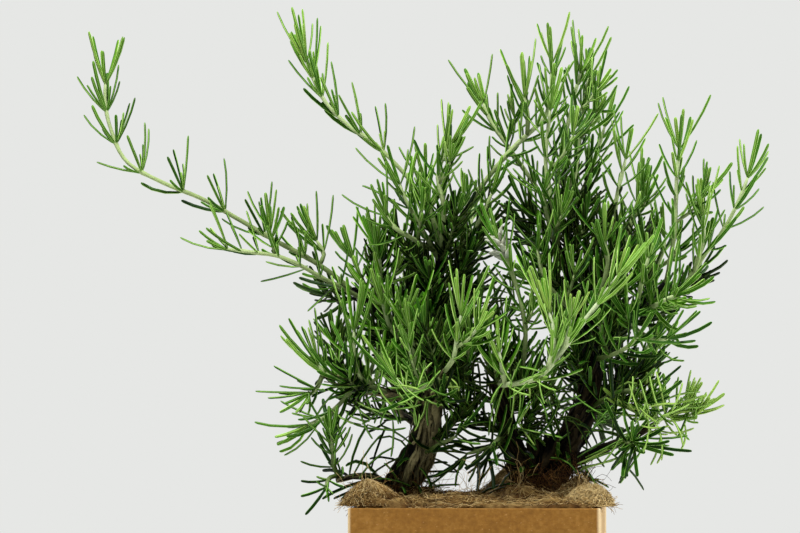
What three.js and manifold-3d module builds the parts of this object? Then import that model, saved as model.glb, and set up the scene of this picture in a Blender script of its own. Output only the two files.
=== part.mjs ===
// A rosemary shrub in a square kraft-brown planter, about 45 cm tall with its planter.
// Lengths are millimetres and angles degrees. +Z is up, +X is to the right and -Y to the front.
// The origin is the centre of the planter's underside.
import * as THREE from 'three';
import { mergeVertices } from 'three/addons/utils/BufferGeometryUtils.js';
import Module from 'manifold-3d';

const wasm = await Module();
wasm.setup();

// Planter
const planterWidth = 150;
const planterHeight = 140;
const planterWall = 5;
const planterFloor = 6;
const planterCorner = 1.5;

// Filling
const seat = 0.3; // gap between pieces that touch
const soilTop = 126;
const footDepth = 32;
const footHeight = 6; // a trunk's foot reaches this far above the soil
const holeSides = 12;
const coirCells = 7; // the mat's top is a grid of this many squares each way
const coirEdge = 1.5; // the mat stands this far above the rim at its edge
const coirDome = 5.5; // and this much further in the middle
const coirRipple = 1.3;
const tuftFacets = [8, 5];
const coirPeaks = [
  { at: [15, 26], high: 19, wide: 11 },
  { at: [61, -18], high: 16, wide: 11 },
  { at: [-64, -44], high: 6, wide: 20 },
];
const rimTufts = [ // each lies over the rim
  { at: [-61, -50, 141], size: [20, 21, 13.5] },
  { at: [67, -46, 141], size: [15, 20, 12] },
];

// Wood
const plantShift = [-4, 0, 0]; // the shrub's lines, as written below, all lie this much further along
const limbSides = 5;
const strandSides = 5;
const strandSpread = [1, 0.55]; // how far strands lie from their trunk's line, at its foot and top
const woodSeat = seat / Math.cos(Math.PI / limbSides); // gives the seat gap at a limb's flats too

// Needles and green stems
const stemSides = 4;
const stemStep = 18; // length of a straight stretch of stem
const needleSides = 3;
const needleWidth = 2.4;
const needleThickness = 1.15;
const needleRoot = 0.44; // a needle's width at its root, as a share of the widest
const needleDepth = 0.9; // how far a needle's root is sunk, as a share of the way to the stem's middle
const bendAt = 0.56; // share of a needle's length at which it is widest and bends
const bendTowards = { stem: 0.6, up: 0.85 };
const curlRange = [0.2, 1.3];
const sizeRange = [0.88, 1.16];
const sizeByAge = [1.14, 0.94]; // the needles at a shoot's tip are its longest
const gapByAge = [0.74, 1.2]; // and their whorls the closest together
const youngShare = 0.62; // share of the spread that a tip's needles open to
const turnWobble = 56;
const openingWobble = 26;
const needleClearance = 0.35; // between needles of different sprigs
const sunkShare = 0.12; // share of a needle's lower stretch that lies in its stem
const ownRoots = 0.35; // and share that may touch others of its sprig
const ownStemGap = 0.4;
// How a needle that meets another is tried again: turned, opened and shortened.
const tries = [[0, 0, 1], [20, 0, 1], [-20, 0, 1], [0, -12, 1], [40, 4, 1], [-40, 4, 1], [25, -14, 0.9],
  [-25, -14, 0.9], [60, 0, 0.85], [-60, 0, 0.85], [0, 14, 0.8], [10, -18, 0.7]];

const flatness = 0.02; // faces this close to one plane count as one face
const shortestEdge = 0.05; // edges under this are closed up after a join

const up = new THREE.Vector3(0, 0, 1);
const aside = new THREE.Vector3(0.35, -0.9, 0.25).normalize(); // no stem runs along this

const lookOf = (color, roughness) => new THREE.MeshStandardMaterial({ color, roughness, metalness: 0 });
const looks = {
  kraft: lookOf(0xb48a4c, 0.85),
  soil: lookOf(0x3a2a1c, 0.95),
  coir: lookOf(0xa8834e, 0.95),
  bark: lookOf(0x4a3b2c, 0.9),
  leaf: lookOf(0x4f8a2e, 0.5),
};

// Woody stems, each a limb that tapers along a line of points. A trunk's limbs are strands that twist round
// each other. A limb that grows on another starts there, at a share of its length. A trunk's foot stands in
// the soil, and its hole in the coir leans and widens from low to high; size is the reach along X and Y.
const trunks = {
  trunk_left: { foot: [-49, 0], footRadius: 11,
    hole: { low: [-52, 1, 116], high: [-39, -5, 166], size: [[14.8, 14.2], [14.8, 14.2]] } },
  trunk_right: { foot: [40, 0], footRadius: 15,
    hole: { low: [40, 0, 116], high: [40.5, 0, 166], size: [[17, 18], [23.2, 14]] } },
};
const limbs = [
  { name: 'left_trunk', trunk: 'trunk_left', strands: 3, offset: 5.2, turns: 0.6, radius: [7, 5],
    path: [[-50, 0, 128], [-48, -2, 146], [-39, -5, 163], [-31, -6, 181], [-27, -6, 199], [-26, -6, 213]] },
  { name: 'left_low', trunk: 'trunk_left', on: ['left_trunk', 0.92], radius: [3.6, 2.1],
    path: [[-53, -14, 209], [-75, -22, 216], [-92, -25, 221]] },
  { name: 'left_mid', trunk: 'trunk_left', on: ['left_trunk', 0.97], radius: [4.2, 2.2],
    path: [[-46, -2, 240], [-62, 0, 262], [-77, 4, 274]] },
  { name: 'left_up', trunk: 'trunk_left', on: ['left_trunk', 0.97], radius: [4.4, 2.4],
    path: [[-25, -8, 243], [-22, -8, 274], [-21, -8, 299]] },
  { name: 'left_front', trunk: 'trunk_left', on: ['left_trunk', 0.9], radius: [3.2, 2],
    path: [[-21, -30, 213], [-15, -48, 222]] },
  { name: 'left_back', trunk: 'trunk_left', on: ['left_trunk', 0.94], radius: [3.6, 2.2],
    path: [[-28, 20, 225], [-32, 45, 245]] },
  { name: 'left_back_low', trunk: 'trunk_left', on: ['left_trunk', 0.72], radius: [3, 2],
    path: [[-45, 22, 195], [-60, 45, 208]] },
  { name: 'left_twig', trunk: 'trunk_left', on: ['left_trunk', 0.22], radius: [2.8, 1.8],
    path: [[-60, -12, 157], [-73, -18, 158], [-84, -22, 156]] },
  { name: 'right_arm_left', trunk: 'trunk_right', strands: 2, offset: 3.6, turns: 0.4, radius: [6, 3.4],
    path: [[36, 0, 128], [33, -1, 148], [29, -3, 163], [22, -6, 181], [18, -10, 200], [15.5, -14, 216]] },
  { name: 'right_arm_main', trunk: 'trunk_right', strands: 3, offset: 4, turns: -0.5, radius: [7, 3.2],
    path: [[45, 0, 128], [47, 0, 148], [52, 2, 166], [62, 3, 187], [70, 3, 206], [72, 2, 231],
      [68, 0, 256]] },
  { name: 'right_fork', trunk: 'trunk_right', radius: [8, 5],
    path: [[39, -1, 128], [38, -4, 149], [41, -6, 164], [49, -5, 183]] },
  { name: 'right_leader', trunk: 'trunk_right', on: ['right_arm_main', 0.97], radius: [4, 2.1],
    path: [[59, -2, 280], [50, -3, 305], [49, -2, 322]] },
  { name: 'right_low', trunk: 'trunk_right', on: ['right_arm_main', 0.27], radius: [4.6, 2.2],
    path: [[64, -4, 169], [78, -12, 175], [95, -18, 181], [108, -20, 189]] },
  { name: 'right_low_back', trunk: 'trunk_right', on: ['right_low', 0.55], radius: [2.6, 1.8],
    path: [[97, -2, 183], [110, 8, 190]] },
  { name: 'right_outer', trunk: 'trunk_right', on: ['right_arm_main', 0.78], radius: [3.6, 2.1],
    path: [[90, 1, 249], [105, 1, 265], [118, 0, 277]] },
  { name: 'right_upper', trunk: 'trunk_right', on: ['right_arm_main', 0.95], radius: [3.2, 2],
    path: [[77, 8, 275], [85, 8, 297]] },
  { name: 'right_back', trunk: 'trunk_right', on: ['right_arm_main', 0.75], radius: [3.5, 2.2],
    path: [[70, 30, 243], [72, 55, 262]] },
  { name: 'right_back_low', trunk: 'trunk_right', on: ['right_arm_main', 0.5], radius: [3.2, 2],
    path: [[72, 30, 197], [85, 55, 210]] },
];

// Leafy shoots. Each grows on a limb or on another shoot; shoots with the same sprig are one piece.
// bare is the stem without needles at its root, gap the distance between whorls, leaf the longest needle,
// spread the angle that the oldest needles open to, and lift how strongly they turn up.
const shoots = [
  { sprig: 'left_arch', on: ['left_mid', 1], bare: 12, gap: 24, whorl: 4, leaf: 32, spread: 78, lift: 0.8,
    radius: [1.9, 1.2],
    path: [[-92, 2, 286], [-106, 0, 295], [-123, -3, 304], [-147, -5, 318], [-170, -8, 331],
      [-194, -10, 341], [-218, -10, 355], [-229, -9, 378], [-232, -8, 394], [-232, -8, 405]] },
  { sprig: 'left_arch', on: ['left_arch', 0.12], name: 'arch_side', bare: 4, gap: 11, whorl: 3, leaf: 31,
    spread: 72, path: [[-95, 4, 297], [-100, 4, 306]] },
  { sprig: 'left_reach', on: ['left_mid', 0.85], bare: 12, gap: 12, leaf: 27, spread: 75, lift: 0.9,
    path: [[-84, -8, 276], [-94, -14, 281], [-108, -18, 289], [-120, -20, 294], [-132, -20, 296],
      [-153, -20, 299]] },
  { sprig: 'left_high', on: ['left_up', 1], bare: 60, gap: 15, whorl: 4, leaf: 32, spread: 56, lift: 0.9,
    path: [[-27, -9, 322], [-40, -9, 342], [-61, -9, 364], [-78, -9, 376], [-94, -9, 393],
      [-105, -9, 417]] },
  { sprig: 'crown_front', on: ['left_up', 0.95], bare: 8, gap: 11, leaf: 31, spread: 62, radius: [1.85, 1.4],
    path: [[-18, -22, 313], [-17, -29, 324], [-20, -32, 338], [-19, -32, 349], [-14, -32, 359]] },
  { sprig: 'crown_left', on: ['left_up', 0.9], bare: 7, gap: 10, leaf: 29, spread: 69,
    path: [[-29, -13, 306], [-37, -17, 320], [-43, -19, 332], [-45, -20, 339]] },
  { sprig: 'crown_left', on: ['crown_left', 0.15], name: 'crown_shoulder', bare: 5, gap: 10, leaf: 27,
    spread: 81, path: [[-38, -22, 305], [-48, -27, 311], [-53, -28, 319]] },
  { sprig: 'crown_back', on: ['left_up', 0.78], bare: 8, gap: 11, leaf: 26, spread: 62,
    path: [[-24, 14, 308], [-30, 22, 326], [-33, 26, 338], [-33, 27, 345]] },
  { sprig: 'crown_right', on: ['left_up', 0.85], bare: 7, gap: 10, leaf: 27, spread: 81,
    path: [[-8, -8, 300], [3, -14, 314], [12, -16, 333]] },
  { sprig: 'bridge', on: ['left_up', 0.92], bare: 52, gap: 11, leaf: 27, spread: 56, radius: [2, 1.2],
    path: [[-12, 3, 312], [-4, -1, 326], [12, -8, 347], [26, -12, 362], [37, -12, 372], [45, -10, 381],
      [48, -10, 396], [49, -10, 415]] },
  { sprig: 'bridge', on: ['bridge', 0.66], name: 'bridge_side', bare: 4, gap: 9, leaf: 30, spread: 52,
    path: [[34, -17, 380], [32, -18, 392]] },
  { sprig: 'crossing', on: ['right_leader', 0.85], bare: 28, gap: 12, leaf: 28, spread: 48,
    path: [[42, 0, 331], [25, 3, 357], [11, 0, 377], [5, -1, 391]] },
  { sprig: 'top_left', on: ['right_leader', 1], bare: 10, gap: 11, leaf: 28, spread: 46,
    path: [[51, 5, 338], [53, 7, 355], [61, 7, 391], [66, 6, 410]] },
  { sprig: 'top_right', on: ['right_leader', 0.72], bare: 12, gap: 12, leaf: 29, spread: 44,
    path: [[56, 10, 328], [62, 14, 348], [69, 16, 399], [71, 16, 408]] },
  { sprig: 'top_back', on: ['right_leader', 0.55], bare: 12, gap: 11, leaf: 28, spread: 56,
    path: [[58, 20, 318], [68, 34, 343], [76, 40, 366], [80, 41, 380]] },
  { sprig: 'top_front', on: ['right_leader', 0.68], bare: 14, gap: 11, leaf: 27, spread: 62,
    path: [[50, -13, 318], [46, -16, 340], [45, -17, 356], [48, -19, 384]] },
  { sprig: 'centre_rosette', on: ['right_leader', 0.5], bare: 4, gap: 10, leaf: 28, spread: 80, lift: 0,
    path: [[48, -14, 308], [43, -20, 332]] },
  { sprig: 'right_centre', on: ['right_upper', 1], bare: 6, gap: 11, leaf: 29, spread: 62,
    path: [[87, 2, 316], [88, 0, 330], [94, -3, 355]] },
  { sprig: 'right_centre_back', on: ['right_upper', 0.8], bare: 8, gap: 11, leaf: 27, spread: 62,
    path: [[92, 24, 305], [98, 30, 322], [103, 34, 338]] },
  { sprig: 'right_tall', on: ['right_outer', 1], bare: 6, gap: 11, leaf: 31, spread: 56,
    path: [[121, -8, 291], [124, -13, 312], [125, -15, 338], [127, -15, 360]] },
  { sprig: 'right_far', on: ['right_outer', 0.8], bare: 22, gap: 13, leaf: 31, spread: 56,
    path: [[123, 6, 269], [143, 1, 296], [155, 0, 312], [165, 0, 332], [169, 0, 343]] },
  { sprig: 'right_far', on: ['right_far', 0.35], name: 'right_far_side', bare: 5, gap: 10, leaf: 30,
    spread: 44, path: [[141, -9, 302], [141, -13, 318]] },
  { sprig: 'right_fan', on: ['right_outer', 0.8], bare: 12, gap: 7, leaf: 27, spread: 85, whorl: 4, lift: 0,
    path: [[110, -20, 262], [117, -30, 265], [124, -34, 268]] },
  { sprig: 'right_low_fan', on: ['right_outer', 0.5], bare: 10, gap: 10, leaf: 30, spread: 82, lift: 0,
    path: [[106, -14, 244], [113, -19, 241], [119, -22, 242]] },
  { sprig: 'right_dark', on: ['right_arm_main', 0.8], bare: 14, gap: 10, leaf: 29, spread: 82, lift: -0.1,
    path: [[84, -22, 232], [94, -36, 236], [101, -40, 242]] },
  { sprig: 'right_pale', on: ['right_low_back', 1], bare: 4, gap: 8.5, leaf: 21, spread: 78, whorl: 3,
    path: [[118, 12, 196], [124, 14, 198], [130, 15, 203]] },
  { sprig: 'right_pale', on: ['right_pale', 0.1], name: 'right_pale_up', bare: 4, gap: 8.5, leaf: 24,
    spread: 62, path: [[111, 15, 203], [108, 18, 215]] },
  { sprig: 'right_pale', on: ['right_pale', 0.12], name: 'right_pale_in', bare: 4, gap: 7, leaf: 21,
    whorl: 3, spread: 84, path: [[107, 1, 195], [103, -4, 196], [101, -6, 200]] },
  { sprig: 'right_base', on: ['right_low', 0.75], bare: 3, gap: 7, leaf: 29, spread: 85, whorl: 3,
    lift: -0.4, path: [[94, -27, 179], [99, -32, 179]] },
  { sprig: 'front_bright', on: ['right_arm_left', 1], bare: 26, gap: 13, leaf: 33, spread: 44,
    radius: [2, 1.2],
    path: [[19, -34, 214], [24, -48, 214], [33, -57, 215], [44, -61, 219], [53, -62, 229],
      [67, -62, 248], [84, -60, 270], [90, -59, 279]] },
  { sprig: 'front_bright', on: ['front_bright', 0.2], name: 'front_bright_left', bare: 3, gap: 8.5, leaf: 26,
    spread: 50, path: [[20, -50, 222], [18, -51, 234]] },
  { sprig: 'front_bright', on: ['front_bright', 0.48], name: 'front_bright_mid', bare: 5, gap: 10, leaf: 33,
    spread: 40, path: [[52, -66, 240], [49, -67, 257]] },
  { sprig: 'front_bright', on: ['front_bright', 0.6], name: 'front_bright_bud', bare: 3, gap: 7, leaf: 19,
    spread: 38, path: [[61, -67, 246], [62, -68, 253]] },
  { sprig: 'front_left', on: ['left_front', 1], bare: 4, gap: 10, leaf: 31, spread: 60,
    path: [[-9, -56, 230], [-6, -59, 247], [-4, -60, 256]] },
  { sprig: 'dry_buds', on: ['right_arm_left', 0.84], bare: 14, gap: 11, leaf: 26, spread: 69,
    path: [[28, -16, 218], [33, -31, 240], [31, -38, 262], [24, -39, 285], [18, -39, 300]] },
  { sprig: 'left_bright', on: ['left_low', 0.65], bare: 4, gap: 9, leaf: 33, spread: 75, whorl: 3, lift: 0.9,
    path: [[-81, -30, 218], [-88, -35, 220], [-94, -37, 227]] },
  { sprig: 'left_long', on: ['left_low', 0.4], bare: 10, gap: 10, leaf: 38, spread: 52,
    path: [[-66, -36, 217], [-70, -47, 230], [-70, -50, 247]] },
  { sprig: 'left_tail', on: ['left_low', 1], bare: 3, gap: 8.5, leaf: 28, spread: 69, lift: 0.7,
    path: [[-95, -27, 213], [-98, -28, 209], [-101, -28, 210]] },
  { sprig: 'left_droop', on: ['left_low', 0.7], bare: 10, gap: 12, leaf: 29, spread: 56, lift: 0,
    path: [[-80, -12, 206], [-92, -9, 195], [-104, -8, 190]] },
  { sprig: 'left_fall', on: ['left_twig', 0.9], bare: 2, gap: 7, leaf: 25, spread: 81, whorl: 3,
    path: [[-85, -22, 163], [-87, -23, 184]] },
  { sprig: 'left_fall', on: ['left_fall', 0.12], name: 'left_fall_low', bare: 4, gap: 7, leaf: 18,
    spread: 75, lift: 0, path: [[-88, -27, 157], [-89, -31, 151]] },
  { sprig: 'mid_low_left', on: ['left_trunk', 0.5], bare: 14, gap: 8.5, leaf: 24, spread: 82, lift: 0,
    path: [[-20, -22, 178], [-9, -31, 183]] },
  { sprig: 'mid_low', on: ['right_arm_left', 0.62], bare: 8, gap: 10, leaf: 27, spread: 76, lift: -0.2,
    path: [[13, -18, 177], [4, -26, 174], [-4, -29, 172]] },
  { sprig: 'mid_low', on: ['mid_low', 0.2], name: 'mid_low_front', bare: 10, gap: 8.5, leaf: 27, spread: 81,
    lift: -0.4, path: [[17, -30, 182], [13, -44, 177]] },
  { sprig: 'mid_left', on: ['left_front', 0.8], bare: 6, gap: 9.5, leaf: 32, spread: 69, lift: 0.9,
    path: [[-26, -54, 213], [-36, -60, 210], [-44, -62, 218]] },
  { sprig: 'mid_left_up', on: ['left_trunk', 0.95], bare: 16, gap: 9.5, leaf: 32, spread: 62,
    path: [[-32, -26, 220], [-34, -38, 232], [-36, -43, 247]] },
  { sprig: 'mid_left_back', on: ['left_back', 0.85], bare: 6, gap: 12, leaf: 27, spread: 69,
    path: [[-42, 42, 248], [-56, 50, 272]] },
  { sprig: 'left_shoulder', on: ['left_mid', 0.5], bare: 8, gap: 10, leaf: 27, spread: 62,
    path: [[-57, -8, 275], [-58, -15, 290], [-60, -16, 300]] },
  { sprig: 'left_shoulder_back', on: ['left_mid', 0.75], bare: 8, gap: 10, leaf: 26, spread: 62,
    path: [[-73, 12, 284], [-79, 17, 296]] },
  { sprig: 'left_inner', on: ['left_mid', 0.25], bare: 10, gap: 10, leaf: 31, spread: 75,
    path: [[-44, -20, 240], [-50, -32, 250], [-54, -38, 264]] },
  { sprig: 'centre_low', on: ['left_trunk', 0.97], bare: 10, gap: 12, leaf: 26, spread: 81,
    path: [[-12, -12, 218], [-2, -20, 228], [0, -22, 240]] },
  { sprig: 'centre_mid', on: ['right_arm_left', 0.97], bare: 8, gap: 11, leaf: 27, spread: 75,
    path: [[8, -4, 228], [2, -4, 246], [4, -5, 264]] },
  { sprig: 'centre_high', on: ['right_leader', 0.1], bare: 8, gap: 13, leaf: 27, spread: 75,
    path: [[56, -14, 264], [44, -24, 280], [40, -26, 298]] },
  { sprig: 'right_inner', on: ['right_upper', 0.2], bare: 10, gap: 12, leaf: 27, spread: 75,
    path: [[78, -18, 270], [83, -26, 288], [81, -28, 302]] },
  { sprig: 'right_inner_mid', on: ['right_outer', 0.34], bare: 12, gap: 10, leaf: 27, spread: 75,
    path: [[100, -18, 264], [104, -28, 278], [108, -31, 292]] },
  { sprig: 'right_inner_back', on: ['right_outer', 0.7], bare: 10, gap: 13, leaf: 27, spread: 69,
    path: [[108, 20, 276], [116, 29, 298], [118, 30, 308]] },
  { sprig: 'right_inner_low', on: ['right_arm_main', 0.55], bare: 8, gap: 12, leaf: 27, spread: 82, lift: 0,
    path: [[84, -8, 208], [95, -13, 211], [106, -15, 208]] },
  { sprig: 'back_left', on: ['left_back', 1], bare: 5, gap: 12, leaf: 28, spread: 72,
    path: [[-30, 58, 256], [-29, 66, 288]] },
  { sprig: 'back_left_low', on: ['left_back_low', 1], bare: 5, gap: 12, leaf: 28, spread: 78,
    path: [[-70, 52, 216], [-82, 57, 240]] },
  { sprig: 'back_mid', on: ['right_back', 0.6], bare: 10, gap: 12, leaf: 28, spread: 75,
    path: [[56, 52, 258], [40, 64, 276], [36, 70, 294]] },
  { sprig: 'back_right', on: ['right_back', 1], bare: 5, gap: 12, leaf: 28, spread: 72,
    path: [[78, 66, 276], [84, 75, 310]] },
  { sprig: 'back_right_low', on: ['right_back_low', 1], bare: 5, gap: 12, leaf: 28, spread: 81,
    path: [[97, 62, 222], [109, 67, 246]] },
  { sprig: 'back_low_mid', on: ['right_back_low', 0.5], bare: 14, gap: 12, leaf: 27, spread: 81,
    path: [[50, 42, 202], [34, 52, 210], [24, 56, 222]] },
  { sprig: 'back_crown', on: ['left_up', 0.6], bare: 16, gap: 12, leaf: 27, spread: 69,
    path: [[-16, 18, 286], [-8, 36, 302], [-4, 44, 330]] },
];
const shootDefaults = { whorl: 2, lift: 0.25, radius: [1.7, 1.15] };

// A seeded draw between 0 and 1 that depends only on what it is for.
function chance(plant, place, what) {
  const s = Math.sin(plant * 127.1 + place * 311.7 + what * 74.7) * 43758.5453;
  return s - Math.floor(s);
}

const mix = (a, b, share) => a + (b - a) * share;
const point = ([x, y, z]) => new THREE.Vector3(x, y, z);
const placed = (place) => point(place).add(point(plantShift));
const lineThrough = (points) => new THREE.CatmullRomCurve3(points, false, 'catmullrom', 0.5);

// Solids
function solidOf(geometry) {
  const bare = geometry.clone();
  bare.deleteAttribute('normal');
  bare.deleteAttribute('uv');
  const merged = mergeVertices(bare, 1e-4);
  return new wasm.Manifold(new wasm.Mesh({
    numProp: 3,
    tolerance: flatness,
    vertProperties: new Float32Array(merged.attributes.position.array),
    triVerts: new Uint32Array(merged.index.array),
  }));
}

const joined = (solids) => solids.reduce((whole, piece) => whole.add(piece));

// The largest of the bodies that a cut leaves; the rest are loose scraps.
function mainBody(solid) {
  const bodies = solid.decompose();
  return bodies.reduce((most, body) => (body.volume() > most.volume() ? body : most));
}

function meshOf(name, solid, look) {
  const mesh = solid.asOriginal().simplify(shortestEdge).getMesh();
  const geometry = new THREE.BufferGeometry();
  geometry.setAttribute('position', new THREE.BufferAttribute(new Float32Array(mesh.vertProperties), 3));
  geometry.setIndex(new THREE.BufferAttribute(new Uint32Array(mesh.triVerts), 1));
  geometry.computeVertexNormals();
  const part = new THREE.Mesh(geometry, look);
  part.name = name;
  return part;
}

// The straight stretches that a stem's curve is made of, each with a direction along it and one to its side,
// carried on from stretch to stretch without twisting.
function stretchesOf(curve, steps) {
  const stations = curve.getSpacedPoints(steps);
  const stretches = [];
  for (let i = 0; i < steps; i += 1) {
    const [from, to] = [stations[i], stations[i + 1]];
    const along = new THREE.Vector3().subVectors(to, from).normalize();
    const side = i === 0
      ? new THREE.Vector3().crossVectors(along, aside)
      : stretches[i - 1].side.clone().addScaledVector(along, -along.dot(stretches[i - 1].side));
    side.normalize();
    stretches.push({ from, to, along, side, depth: new THREE.Vector3().crossVectors(side, along) });
  }
  return stretches;
}

// A tapering stem: an upright cylinder whose rings are set across the bends, as in mitred pipe, so that each
// of its faces is flat.
function tube(curve, radius, sides, steps, extra = 0) {
  const stretches = stretchesOf(curve, steps);
  stretches[0].from.addScaledVector(stretches[0].along, -extra);
  stretches[steps - 1].to.addScaledVector(stretches[steps - 1].along, extra);
  const centres = [stretches[0].from, ...stretches.map((stretch) => stretch.to)];
  const sizes = centres.map((_, i) => mix(...radius, i / steps) + extra);
  const rings = [Array.from({ length: sides }, (_, k) => {
    const angle = (-2 * Math.PI * k) / sides;
    return centres[0].clone()
      .addScaledVector(stretches[0].side, sizes[0] * Math.cos(angle))
      .addScaledVector(stretches[0].depth, sizes[0] * Math.sin(angle));
  })];
  stretches.forEach(({ along, to }, i) => {
    const across = along.clone().add(stretches[Math.min(i + 1, steps - 1)].along).normalize();
    const taper = sizes[i + 1] / sizes[i];
    rings.push(rings[i].map((corner) => {
      const travel = new THREE.Vector3().subVectors(to, corner).dot(across) / along.dot(across);
      return corner.clone().addScaledVector(along, travel).sub(to).multiplyScalar(taper).add(to);
    }));
  });
  const cylinder = new THREE.CylinderGeometry(1, 1, 1, sides, steps);
  const position = cylinder.getAttribute('position');
  for (let i = 0; i < position.count; i += 1) {
    const level = Math.round((position.getY(i) + 0.5) * steps);
    const turn = Math.atan2(position.getX(i), position.getZ(i)) / (2 * Math.PI);
    const corner = Math.round((turn + 1) * sides) % sides;
    const across = Math.hypot(position.getX(i), position.getZ(i));
    const place = across > 1e-6 ? rings[level][corner] : centres[level];
    position.setXYZ(i, place.x, place.y, place.z);
  }
  return solidOf(cylinder);
}

function upright(radius, low, high, sides) {
  const cylinder = new THREE.CylinderGeometry(radius, radius, high - low, sides);
  cylinder.rotateX(Math.PI / 2);
  cylinder.translate(0, 0, (low + high) / 2);
  return cylinder;
}

// Planter
function squareOutline(width, corner) {
  const half = width / 2;
  const outline = new THREE.Shape();
  outline.moveTo(-half + corner, -half);
  outline.lineTo(half - corner, -half);
  outline.absarc(half - corner, -half + corner, corner, -Math.PI / 2, 0);
  outline.lineTo(half, half - corner);
  outline.absarc(half - corner, half - corner, corner, 0, Math.PI / 2);
  outline.lineTo(-half + corner, half);
  outline.absarc(-half + corner, half - corner, corner, Math.PI / 2, Math.PI);
  outline.lineTo(-half, -half + corner);
  outline.absarc(-half + corner, -half + corner, corner, Math.PI, Math.PI * 1.5);
  return outline;
}

function squareBlock(width, low, high, corner) {
  const block = new THREE.ExtrudeGeometry(squareOutline(width, corner),
    { depth: high - low, bevelEnabled: false, curveSegments: 2 });
  block.translate(0, 0, low);
  return solidOf(block);
}

function planter() {
  const outside = squareBlock(planterWidth, 0, planterHeight, planterCorner);
  const inside = squareBlock(planterWidth - 2 * planterWall, planterFloor, planterHeight + 1, planterCorner);
  return outside.subtract(inside);
}

// The space that the planter's walls and rim take, grown by the seat gap, and all that is outside and lower.
function planterKeepOut() {
  const outside = squareBlock(2 * planterWidth, -seat, planterHeight + seat, planterCorner);
  const inside = squareBlock(planterWidth - 2 * planterWall - 2 * seat, -1, planterHeight + 1, planterCorner);
  return outside.subtract(inside);
}

// Wood
const curves = new Map(); // the line of every limb and shoot, by name

function growthLine({ on, path }) {
  const points = path.map(placed);
  if (on) points.unshift(curves.get(on[0]).getPointAt(on[1]));
  return lineThrough(points);
}

// The lines of a trunk's strands, which wind round its own line.
function strandLines(curve, { strands, offset, turns, path }) {
  return Array.from({ length: strands }, (_, strand) => {
    const points = path.map((_unused, i) => {
      const along = i / (path.length - 1);
      const tangent = curve.getTangentAt(along);
      const side = new THREE.Vector3().crossVectors(tangent, aside).normalize();
      const depth = new THREE.Vector3().crossVectors(side, tangent);
      const angle = 2 * Math.PI * (strand / strands + turns * along);
      const away = offset * mix(...strandSpread, along);
      return curve.getPointAt(along)
        .addScaledVector(side, away * Math.cos(angle))
        .addScaledVector(depth, away * Math.sin(angle));
    });
    return lineThrough(points);
  });
}

function limbSolids(limb, extra) {
  const curve = curves.get(limb.name);
  const steps = limb.path.length;
  if (!limb.strands) return [tube(curve, limb.radius, limbSides, steps, extra)];
  return strandLines(curve, limb).map((line) => tube(line, limb.radius, strandSides, steps - 1, extra));
}

function trunkSolid(name, extra) {
  const { foot, footRadius } = trunks[name];
  const [low, high] = [soilTop - footDepth - extra, soilTop + footHeight + extra];
  const stub = upright(footRadius + extra, low, high, holeSides);
  stub.translate(foot[0] + plantShift[0], foot[1] + plantShift[1], 0);
  const wood = limbs.filter((limb) => limb.trunk === name).flatMap((limb) => limbSolids(limb, extra));
  return joined([solidOf(stub), ...wood]);
}

// Filling
const fillWidth = planterWidth - 2 * planterWall - 2 * seat;

function soil() {
  const block = squareBlock(fillWidth, planterFloor + seat, soilTop, planterCorner);
  const holes = Object.values(trunks).map(({ foot, footRadius }) => {
    const hole = upright(footRadius + seat, soilTop - footDepth - seat, soilTop + 1, holeSides);
    hole.translate(foot[0] + plantShift[0], foot[1] + plantShift[1], 0);
    return solidOf(hole);
  });
  return block.subtract(joined(holes));
}

// Height of the coir's ruffled top, which stands a little above the rim and in two tufts beside the trunk.
function coirHeight(x, y) {
  const half = planterWidth / 2;
  const dome = coirDome * (1 - (x / half) ** 4) * (1 - (y / half) ** 4);
  const ripple = coirRipple * (Math.sin(x / 9 + y / 14) + 0.8 * Math.sin(y / 8 - x / 17));
  const peaks = coirPeaks.map(({ at, high, wide }) => {
    const away = Math.hypot(x - at[0], y - at[1]) / wide;
    return high * Math.exp(-away * away);
  });
  return planterHeight + coirEdge + dome + ripple + peaks.reduce((sum, peak) => sum + peak, 0);
}

function tuftSolid([x, y, z], [width, depth, height]) {
  const ball = new THREE.SphereGeometry(1, ...tuftFacets);
  const position = ball.getAttribute('position');
  for (let i = 0; i < position.count; i += 1) {
    const [a, b, c] = [position.getX(i), position.getY(i), position.getZ(i)];
    const shag = 1 + 0.08 * Math.sin(7 * a + 5 * b) * Math.cos(6 * c - 3 * a);
    position.setXYZ(i, a * shag, b * shag, c * shag);
  }
  ball.rotateX(Math.PI / 2);
  ball.scale(width, depth, height);
  ball.translate(x, y, z);
  return solidOf(ball);
}

// The plain hole that a trunk comes up through: an upright cylinder leant and widened to follow it.
function coirHole({ low, high, size }) {
  const hole = new THREE.CylinderGeometry(1, 1, 1, holeSides);
  const position = hole.getAttribute('position');
  const [bottom, top] = [placed(low), placed(high)];
  for (let i = 0; i < position.count; i += 1) {
    const share = position.getY(i) + 0.5;
    const place = bottom.clone().lerp(top, share);
    place.x += position.getX(i) * mix(size[0][0], size[1][0], share);
    place.y -= position.getZ(i) * mix(size[0][1], size[1][1], share);
    position.setXYZ(i, place.x, place.y, place.z);
  }
  return solidOf(hole);
}

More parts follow.
